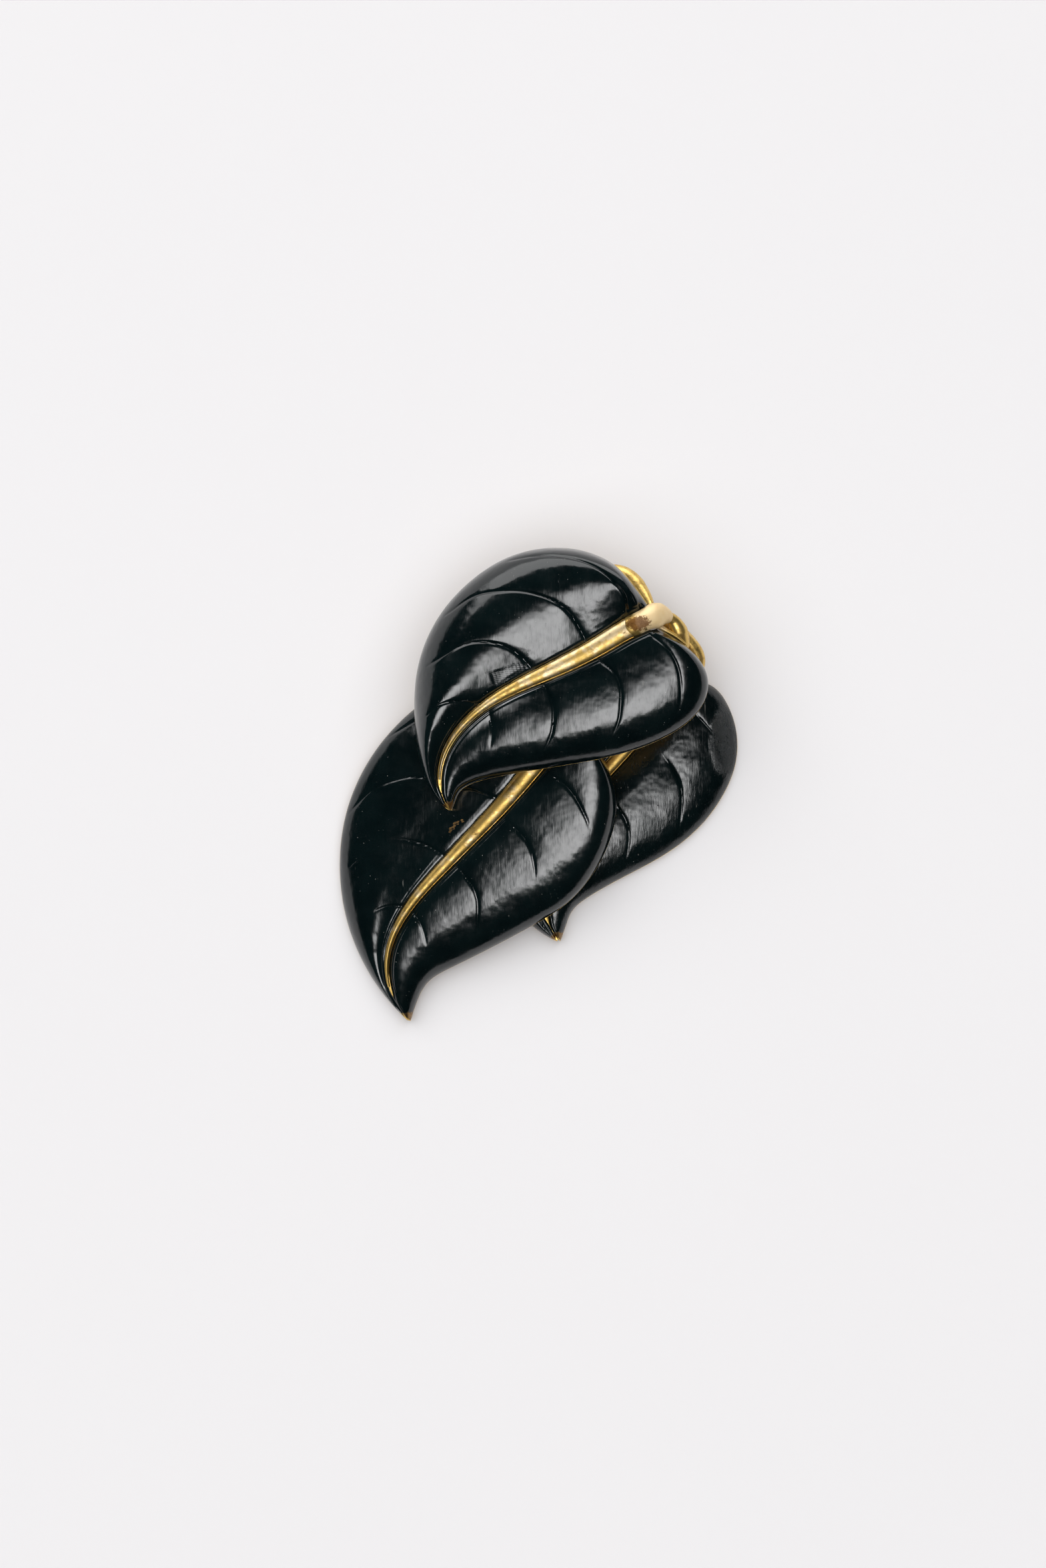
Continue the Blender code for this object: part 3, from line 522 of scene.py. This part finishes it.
def rings_along(path, profile, sides, rows):
    """Rings along a smooth path, closer together at its ends.

    The profile gives, at places along the path, half the width and the heights above and below it.
    """
    line = smooth_line(path, CURL_SAMPLES)
    crowded = (1 - np.cos(np.linspace(0, math.pi, rows))) / 2
    places = CROWDING * crowded + (1 - CROWDING) * np.linspace(0, 1, rows)
    centre = along(line, places)
    ahead = along(line, np.minimum(places + CURL_STEP, 1)) - along(line, np.maximum(places - CURL_STEP, 0))
    ahead /= np.linalg.norm(ahead, axis=1, keepdims=True)
    aside = np.cross(ahead, (0, 0, 1.0))
    aside /= np.linalg.norm(aside, axis=1, keepdims=True)
    above = np.cross(aside, ahead)
    keys = np.array(profile, float)
    wide, up, down = (np.interp(places, keys[:, 0], keys[:, k]) for k in (1, 2, 3))
    turns = np.linspace(0, 2 * math.pi, sides, endpoint=False)
    rise = np.sin(turns)[None, :] * np.where(np.sin(turns)[None, :] > 0, up[:, None], down[:, None])
    spread = np.cos(turns)[None, :] * wide[:, None]
    return centre[:, None] + aside[:, None] * spread[..., None] + above[:, None] * rise[..., None]


def add_curl(name, path, profile, material, replaced):
    """A gilt piece with rounded sections along a path."""
    rings = rings_along(path, profile, CURL_SIDES, CURL_ROWS)
    return add_piece(name, rings.reshape(-1, 3), tube_faces(*rings.shape[:2]), material, replaced)


# ---------------------------------------------------------------- materials


class Nodes:
    """A material's node tree while it is being built. Coordinates are in millimetres."""

    def __init__(self, name):
        self.material = bpy.data.materials.new(name)
        self.material.use_nodes = True
        self.tree = self.material.node_tree
        self.shader = self.tree.nodes["Principled BSDF"]
        place = self.add("ShaderNodeTexCoord").outputs["Object"]
        scale = self.add("ShaderNodeVectorMath", operation="SCALE")
        self.tree.links.new(place, scale.inputs[0])
        scale.inputs["Scale"].default_value = 1 / MM
        self.place = scale.outputs[0]

    def add(self, kind, **settings):
        node = self.tree.nodes.new(kind)
        for key, value in settings.items():
            setattr(node, key, value)
        return node

    def put(self, value, socket):
        """Links an output to the socket, or sets the socket's own value."""
        if isinstance(value, bpy.types.NodeSocket):
            self.tree.links.new(value, socket)
        else:
            socket.default_value = value

    def turned(self, angle, stretch):
        """Places stretched, then turned about Z by an angle in degrees."""
        node = self.add("ShaderNodeMapping")
        node.inputs["Rotation"].default_value = (0, 0, math.radians(angle))
        node.inputs["Scale"].default_value = stretch
        self.put(self.place, node.inputs["Vector"])
        return node.outputs[0]

    def noise(self, size, detail=3.0, roughness=0.5, vector=None, distortion=0.0):
        """Noise from 0 to 1 whose features are about this many millimetres."""
        node = self.add("ShaderNodeTexNoise")
        self.put(vector or self.place, node.inputs["Vector"])
        node.inputs["Scale"].default_value = 1 / size
        node.inputs["Detail"].default_value = detail
        node.inputs["Roughness"].default_value = roughness
        node.inputs["Distortion"].default_value = distortion
        return node.outputs["Fac"]

    def spread(self, value, low, high, to_low=0.0, to_high=1.0):
        """A smooth step from one value at low to another at high."""
        node = self.add("ShaderNodeMapRange", interpolation_type="SMOOTHSTEP")
        for entry, socket in zip((value, low, high, to_low, to_high), node.inputs):
            self.put(entry, socket)
        return node.outputs[0]

    def maths(self, operation, first, second=0.0, clamp=False):
        node = self.add("ShaderNodeMath", operation=operation, use_clamp=clamp)
        self.put(first, node.inputs[0])
        self.put(second, node.inputs[1])
        return node.outputs[0]

    def mix(self, share, first, second):
        node = self.add("ShaderNodeMix", data_type="RGBA")
        self.put(share, node.inputs[0])
        for value, socket in ((first, node.inputs[6]), (second, node.inputs[7])):
            self.put((*value, 1) if isinstance(value, tuple) else value, socket)
        return node.outputs[2]

    def attribute(self, name):
        return self.add("ShaderNodeAttribute", attribute_name=name).outputs["Fac"]

    def specks(self, size, radius, share, turn):
        """Round specks: this share of the cells, which are turned by this angle, holds one of this radius."""
        cell = self.add("ShaderNodeTexVoronoi", feature="F1")
        self.put(self.turned(turn, (1, 1, 1)), cell.inputs["Vector"])
        cell.inputs["Scale"].default_value = 1 / size
        inside = self.spread(cell.outputs["Distance"], radius / size, 0.6 * radius / size)
        pick = self.add("ShaderNodeSeparateColor")
        self.put(cell.outputs["Color"], pick.inputs[0])
        chosen = self.maths("GREATER_THAN", pick.outputs[0], 1 - share)
        return self.maths("MULTIPLY", inside, chosen)

    def bump(self, height, depth, under=None):
        """A bump of this depth in millimetres."""
        node = self.add("ShaderNodeBump")
        node.inputs["Strength"].default_value = 1.0
        node.inputs["Distance"].default_value = depth * MM
        self.put(height, node.inputs["Height"])
        if under is not None:
            self.put(under, node.inputs["Normal"])
        return node.outputs[0]

    def finish(self, colour, roughness, normal, metallic=None):
        self.put(colour, self.shader.inputs["Base Color"])
        self.put(roughness, self.shader.inputs["Roughness"])
        self.put(normal, self.shader.inputs["Normal"])
        if metallic is not None:
            self.put(metallic, self.shader.inputs["Metallic"])
        return self.material


ENAMEL_DARK = (0.0006, 0.0036, 0.0042)
ENAMEL_PALE = (0.0018, 0.0060, 0.0066)
DUST = (0.32, 0.31, 0.28)
BARE_BRASS = (0.40, 0.25, 0.10)
BARE_BROWN = (0.10, 0.05, 0.02)
ENAMEL_IOR = 1.55
# The scuffed end of the right leaf.
SCUFFED_FROM = 0.5
SCUFF_MIDDLE = (28.6, 7.0, 3.0)
SCUFF_STRETCH = (1.3, 0.6, 0.6)


def enamel_dust(n):
    """Where dust specks and lint lie on the glass, from 0 to 1."""
    dust = n.maths("MAXIMUM", n.specks(0.9, 0.075, 0.4, 10), n.specks(0.5, 0.04, 0.4, 40))
    dust = n.maths("MULTIPLY", dust, n.spread(n.noise(6.0, 2.0), 0.42, 0.62))
    lint = n.spread(n.noise(0.5, 2.0, vector=n.turned(-35, (1.0, 0.12, 1.0))), 0.735, 0.8)
    return n.maths("MAXIMUM", dust, n.maths("MULTIPLY", lint, 0.5))


def enamel_wear(n):
    """Where the glass has worn down to the metal, from 0 to 1."""
    ragged = n.maths("MULTIPLY", n.noise(0.8, 4.0, 0.6), 1.3)
    bare = n.spread(n.maths("ADD", n.attribute("to_tip"), ragged), 2.45, 2.1)
    return n.maths("MAXIMUM", bare, n.spread(n.attribute("bare"), 0.3, 0.6))


def enamel_roughness(n, scratched, dust, bare):
    """Rubbed patches and hairlines, rougher where there is dust or bare metal."""
    rub = n.spread(n.noise(2.2, 5.0, 0.6), 0.35, 0.75, 0.12, 0.19 + 0.1 * scratched)
    hairs = n.noise(0.25, 3.0, vector=n.turned(25, (1.0, 0.15, 1.0)))
    fine = n.spread(hairs, 0.5, 0.75, 0.0, 0.05 + 0.12 * scratched)
    roughness = n.maths("ADD", rub, fine)
    roughness = n.maths("ADD", roughness, n.maths("MULTIPLY", dust, 0.3))
    return n.maths("ADD", roughness, n.maths("MULTIPLY", bare, 0.2), True)


def enamel_relief(n, scratched):
    """Soft waves, scratches and pits."""
    waves = n.bump(n.noise(3.2, 2.0), 0.10 + 0.1 * scratched)
    scratches = n.noise(0.3, 4.0, 0.6, vector=n.turned(25, (1.0, 0.1, 1.0)))
    normal = n.bump(scratches, 0.006 + 0.03 * scratched, under=waves)
    pits = n.maths("MAXIMUM", n.specks(2.3, 0.12, 0.3, 70), n.specks(0.9, 0.05, 0.25, 20))
    return n.bump(n.maths("MULTIPLY", pits, -1.0), 0.03, under=normal)


def enamel_material(name, scratched):
    """Glossy green-black glass, rubbed down to brown brass in places.

    Badly scratched glass has a scuffed end.
    """
    n = Nodes(name)
    colour = n.mix(n.spread(n.noise(5.0, 3.0), 0.35, 0.65), ENAMEL_DARK, ENAMEL_PALE)
    dust = enamel_dust(n)
    colour = n.mix(n.maths("MULTIPLY", dust, 0.55), colour, DUST)
    bare = enamel_wear(n)
    colour = n.mix(bare, colour, n.mix(n.noise(0.4, 3.0), BARE_BRASS, BARE_BROWN))
    roughness = enamel_roughness(n, scratched, dust, bare)
    normal = enamel_relief(n, scratched)
    if scratched > SCUFFED_FROM:
        scuffed = n.maths("ADD", away_from(n, SCUFF_MIDDLE, SCUFF_STRETCH), n.noise(1.6, 4.0, 0.6))
        scuffed = n.spread(scuffed, 4.6, 2.9)
        hacked = n.noise(0.7, 5.0, 0.7, vector=n.turned(60, (1.0, 0.45, 1.0)))
        normal = n.bump(n.maths("MULTIPLY", hacked, scuffed), 0.45, under=normal)
        roughness = n.maths("ADD", roughness, n.maths("MULTIPLY", scuffed, 0.12))
    n.shader.inputs["IOR"].default_value = ENAMEL_IOR
    return n.finish(colour, roughness, normal, bare)


# How far the lines' noise is turned after it is stretched.
LINES_TURN = -64
GILT_RICH = (0.74, 0.50, 0.15)
GILT_PALE = (0.88, 0.70, 0.42)
GILT_BROWN = (0.30, 0.16, 0.055)


KNOT_PALE = (0.86, 0.60, 0.28)
KNOT_BRIGHT = (0.92, 0.72, 0.42)
PATCH_PALE = (0.34, 0.17, 0.05)
PATCH_DARK = (0.07, 0.025, 0.005)
KNOT_MIDDLE = (17.7, 25.4, 15.5)
PATCH_MIDDLE = (14.8, 24.3, 16.7)
PATCH_STRETCH = (0.36, 0.62, 0.5)


def gilt_material(name, worn, rough, brown, lumps=0.025, metallic=1.0):
    """Gilding with pale worn patches and brown stains."""
    n = Nodes(name)
    pale = n.spread(n.noise(2.5, 4.0, 0.6), 0.62 - 0.3 * worn, 0.8 - 0.3 * worn)
    colour = n.mix(pale, GILT_RICH, GILT_PALE)
    stain = n.spread(n.noise(1.1, 5.0, 0.65, distortion=0.6), 0.62 - 0.2 * brown, 0.82 - 0.2 * brown)
    colour = n.mix(n.maths("MULTIPLY", stain, 0.6), colour, GILT_BROWN)
    return gilt_surface(n, colour, stain, rough, lumps, metallic)


def gilt_surface(n, colour, stain, rough, lumps, metallic):
    """Uneven gloss and cast lumps, shared by the gilding and the knot."""
    roughness = n.spread(n.noise(0.7, 4.0, 0.6), 0.3, 0.7, rough, rough + 0.16)
    roughness = n.maths("ADD", roughness, n.maths("MULTIPLY", stain, 0.15), True)
    cast = n.bump(n.noise(0.9, 3.0, 0.55), lumps)
    normal = n.bump(n.noise(0.16, 3.0, 0.6), 0.004, under=cast)
    return n.finish(colour, roughness, normal, metallic)


def away_from(n, place, stretch=(1, 1, 1)):
    """The distance from a place, with each axis stretched."""
    gap = n.add("ShaderNodeVectorMath", operation="DISTANCE")
    n.put(n.turned(0, stretch), gap.inputs[0])
    gap.inputs[1].default_value = [value * factor for value, factor in zip(place, stretch)]
    return gap.outputs["Value"]


def knot_material():
    """Pale matte solder that runs out into gilding, with a brown patch."""
    n = Nodes("knot_gilt")
    worn = n.mix(n.noise(0.8, 4.0, 0.6), KNOT_PALE, KNOT_BRIGHT)
    gilded = n.maths("ADD", away_from(n, KNOT_MIDDLE), n.noise(0.8, 4.0, 0.6))
    gilded = n.spread(gilded, 3.7, 4.6)
    colour = n.mix(gilded, worn, GILT_RICH)
    ragged = n.maths("ADD", away_from(n, PATCH_MIDDLE, PATCH_STRETCH),
                     n.maths("MULTIPLY", n.noise(0.45, 5.0, 0.7), 1.3))
    patch = n.mix(n.noise(0.22, 4.0, 0.7), PATCH_PALE, PATCH_DARK)
    patched = n.spread(ragged, 1.42, 1.2)
    colour = n.mix(patched, colour, patch)
    return gilt_surface(n, colour, patched, 0.36, 0.03, n.spread(gilded, 0.0, 1.0, 0.2, 0.95))


def metal_material(name, colour_low, colour_high, rough):
    """Drawn or cast white metal with fine lines along X."""
    n = Nodes(name)
    colour = n.mix(n.spread(n.noise(1.6, 4.0, 0.6), 0.35, 0.7), colour_low, colour_high)
    n.shader.inputs["Metallic"].default_value = 1.0
    lines = n.noise(0.12, 3.0, 0.6, vector=n.turned(LINES_TURN, (0.08, 1.0, 1.0)))
    roughness = n.spread(lines, 0.3, 0.7, rough, rough + 0.15)
    normal = n.bump(lines, 0.006, under=n.bump(n.noise(0.8, 3.0), 0.02))
    return n.finish(colour, roughness, normal)


# ---------------------------------------------------------------- the pieces

# How scratched each leaf's glass is, and how pale its midrib's gilding has worn.
SCRATCHED = {"top_leaf": 0.15, "left_leaf": 0.15, "right_leaf": 0.8}
RIB_WEAR = {"top_leaf": 0.6, "left_leaf": 0.35, "right_leaf": 0.25}
leaves = {name: Leaf(name, **spec) for name, spec in LEAVES.items()}
for name, leaf in leaves.items():
    glass = enamel_material(f"{name}_glass", SCRATCHED[name])
    for side in ("outer", "inner"):
        lobe(leaf, side, glass)
    shell(leaf, gilt_material(f"{name}_shell_gilt", 0.2, 0.3, 0.6))
    rib(leaf, gilt_material(f"{name}_rib_gilt", RIB_WEAR[name], 0.4, 0.35))

# Each curl: its path, its profile (place, half width, height above, height below) and its CAD node.
CURLS = {
    "left_curl": (
        [(4.9, 10.4, 8.5), (6.0, 14.0, 9.0), (5.9, 19.0, 9.2), (5.8, 24.0, 9.2), (6.9, 28.9, 9.2),
         (9.2, 31.2, 9.3), (11.6, 31.9, 9.4), (13.6, 31.1, 9.6), (15.1, 29.5, 10.2), (16.3, 27.8, 11.2),
         (17.2, 26.0, 12.4)],
        [(0, 0.4, 0.4, 0.4), (0.02, 1.2, 1.2, 1.2), (0.6, 1.3, 1.3, 1.3), (0.72, 1.35, 1.35, 1.3),
         (0.84, 1.3, 1.3, 1.3), (0.91, 0.95, 1.0, 1.0), (0.96, 0.6, 0.65, 0.7), (1, 0.5, 0.5, 0.5)],
        "left_stem"),
    "right_curl": (
        [(19.8, 14.2, 2.2), (21.7, 15.7, 4.3), (23.4, 17.3, 6.1), (23.8, 19.1, 6.8), (22.9, 21.0, 6.9),
         (21.2, 22.8, 7.1), (19.5, 24.1, 7.8), (17.9, 25.1, 9.2)],
        [(0, 0.4, 0.4, 0.4), (0.04, 1.05, 1.05, 1.05), (0.45, 1.2, 1.2, 1.2), (0.75, 1.25, 1.25, 1.2),
         (0.96, 1.05, 1.05, 1.05), (1, 0.4, 0.4, 0.4)],
        "right_stem"),
    "upper_curl": (
        [(18.2, 25.3, 13.2), (19.2, 25.3, 12.7), (20.2, 24.6, 12.0), (20.9, 23.2, 11.2), (21.2, 21.6, 10.2),
         (20.8, 19.8, 9.6), (19.9, 18.5, 9.6), (18.6, 17.6, 9.7), (17.0, 17.0, 10.0)],
        [(0, 0.7, 0.7, 0.9), (0.1, 0.85, 0.8, 0.9), (0.17, 0.95, 0.85, 1.0), (0.32, 1.4, 1.35, 1.3),
         (0.5, 1.38, 1.35, 1.3), (0.75, 1.15, 1.1, 1.1), (0.97, 0.9, 0.9, 0.9), (1, 0.4, 0.4, 0.4)],
        "top_curl"),
}
KNOT_PATH = [(12.6, 23.15, 14.95), (13.6, 23.7, 15.4), (15.0, 24.4, 15.5), (16.2, 25.0, 15.3),
             (17.2, 25.4, 14.9), (18.2, 25.5, 14.1), (19.1, 25.3, 13.1), (19.8, 24.9, 12.2)]
KNOT_PROFILE = [(0, 1.2, 1.2, 1.5), (0.14, 1.6, 1.35, 2.0), (0.42, 1.66, 1.35, 2.3), (0.58, 1.95, 1.25, 2.4),
                (0.7, 1.85, 1.15, 2.2), (0.84, 1.25, 0.9, 1.6), (0.94, 0.85, 0.7, 1.0), (1, 0.4, 0.3, 0.4)]
STRIP_PATH = [(16.9, 24.6, 12.9), (17.9, 23.9, 12.6), (19.2, 23.2, 12.4), (20.7, 22.3, 12.2),
              (22.0, 21.2, 12.1)]
STRIP_PROFILE = [(0, 0.6, 0.5, 0.5), (0.3, 0.42, 0.4, 0.5), (0.7, 0.34, 0.35, 0.5), (1, 0.12, 0.12, 0.2)]

stem_gilt = gilt_material("stem_gilt", 0.15, 0.26, 0.6, lumps=0.06, metallic=0.9)
knot_gilt = knot_material()
for name, (path, profile, node) in CURLS.items():
    add_curl(name, path, profile, stem_gilt, [node])
add_curl("flared_knot", KNOT_PATH, KNOT_PROFILE, knot_gilt, ["stem_knot"])
add_curl("notch_strip", STRIP_PATH, STRIP_PROFILE, knot_gilt, [])
post_gilt = gilt_material("post_gilt", 0.3, 0.3, 0.5)
nickel = metal_material("nickel", (0.46, 0.44, 0.40), (0.60, 0.58, 0.53), 0.24)
steel = metal_material("steel", (0.42, 0.42, 0.41), (0.58, 0.58, 0.57), 0.16)
KEPT = {
    "upper_tie_post": post_gilt, "lower_tie_post": post_gilt, "back_strap": post_gilt,
    "strap_post_near": post_gilt, "strap_post_far": post_gilt, "hinge_base": nickel, "hinge_rivet": nickel,
    "catch_base": nickel, "catch_roller": nickel, "pin_stem": steel,
}
WORN_EDGE = 0.07
BEVEL_ANGLE = math.radians(40)
for name, material in KEPT.items():
    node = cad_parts[name]
    node.data.materials.clear()
    node.data.materials.append(material)
    bevel = node.modifiers.new("worn_edges", "BEVEL")
    bevel.width = WORN_EDGE * MM
    bevel.segments = 2
    bevel.limit_method = "ANGLE"
    bevel.angle_limit = BEVEL_ANGLE

# ---------------------------------------------------------------- floor, light and camera

FLOOR_HALF = 4.0
FLOOR_DARK = (0.86, 0.845, 0.855)
FLOOR_PALE = (0.87, 0.855, 0.865)


def floor():
    """A plain pale paper floor."""
    mesh = bpy.data.meshes.new("floor")
    corners = [(x * FLOOR_HALF, y * FLOOR_HALF, 0) for x, y in ((-1, -1), (1, -1), (1, 1), (-1, 1))]
    mesh.from_pydata(corners, [], [(0, 1, 2, 3)])
    n = Nodes("floor_paper")
    colour = n.mix(n.noise(60.0, 2.0), FLOOR_DARK, FLOOR_PALE)
    normal = n.bump(n.noise(0.6, 3.0), 0.01)
    mesh.materials.append(n.finish(colour, n.spread(n.noise(1.0), 0.0, 1.0, 0.75, 0.85), normal))
    n.shader.inputs["Specular IOR Level"].default_value = 0.2
    ground = bpy.data.objects.new("floor", mesh)
    bpy.context.scene.collection.objects.link(ground)


def panel(name, azimuth, elevation, distance, size, radiance, glossy_only=False, no_gloss=False):
    """A softbox that faces the brooch, seen from this direction in degrees."""
    light = bpy.data.lights.new(name, "AREA")
    light.shape = "RECTANGLE"
    light.size, light.size_y = size
    light.energy = radiance * math.pi * size[0] * size[1]
    lamp = bpy.data.objects.new(name, light)
    a, e = math.radians(azimuth), math.radians(elevation)
    where = Vector((math.cos(a) * math.cos(e), math.sin(a) * math.cos(e), math.sin(e)))
    lamp.location = where * distance
    lamp.rotation_mode = "QUATERNION"
    across = (Vector((1, 0, 0)) - where * where.x).normalized()
    lamp.rotation_quaternion = Matrix((across, where.cross(across), where)).transposed().to_quaternion()
    lamp.visible_camera = False
    lamp.visible_diffuse = not glossy_only
    lamp.visible_glossy = not no_gloss
    bpy.context.scene.collection.objects.link(lamp)
    return lamp


# Along which of a softbox's sides it fades: from dark at the first place to bright at the second.
FADES = (("Y", 1.0, 0.5), ("X", 1.0, 0.6), ("X", 0.0, 0.4))


def fading(lamp):
    """Makes a softbox brightest along its low side, with soft sides and a dark high side."""
    lamp.data.use_nodes = True
    tree = lamp.data.node_tree
    place = tree.nodes.new("ShaderNodeNewGeometry").outputs["Parametric"]
    parts = tree.nodes.new("ShaderNodeSeparateXYZ")
    tree.links.new(place, parts.inputs[0])
    strength = None
    for axis, low, high in FADES:
        share = tree.nodes.new("ShaderNodeMapRange")
        share.interpolation_type = "SMOOTHSTEP"
        tree.links.new(parts.outputs[axis], share.inputs[0])
        share.inputs[1].default_value = low
        share.inputs[2].default_value = high
        if strength is None:
            strength = share.outputs[0]
            continue
        both = tree.nodes.new("ShaderNodeMath")
        both.operation = "MULTIPLY"
        tree.links.new(strength, both.inputs[0])
        tree.links.new(share.outputs[0], both.inputs[1])
        strength = both.outputs[0]
    tree.links.new(strength, tree.nodes["Emission"].inputs["Strength"])


floor()
fading(panel("gloss_box", -69, 75.4, 1.5, (0.93, 0.765), 8.7, glossy_only=True))
panel("top_panel", 98, 24, 4.0, (6.2, 3.6), 2.9, glossy_only=True)
panel("overhead", 120, 72, 3.0, (8.0, 8.0), 1.42, no_gloss=True)
panel("key", 135, 42, 4.0, (2.6, 2.6), 1.1, no_gloss=True)

world = bpy.data.worlds.new("studio")
world.use_nodes = True
ambience = world.node_tree.nodes["Background"].inputs
ambience["Color"].default_value = (0.9, 0.9, 0.9, 1)
ambience["Strength"].default_value = 0.02
bpy.context.scene.world = world
bpy.context.scene.view_settings.view_transform = "Standard"

SENSOR = 36
LENS = 182.5
NEAREST = 0.01
EYE = (-0.00235, 0.00035, 1.2)
camera = bpy.data.cameras.new("camera")
camera.sensor_fit = "AUTO"
camera.sensor_width = SENSOR
camera.lens = LENS
camera.clip_start = NEAREST
eye = bpy.data.objects.new("camera", camera)
eye.location = EYE
bpy.context.scene.collection.objects.link(eye)
bpy.context.scene.camera = eye
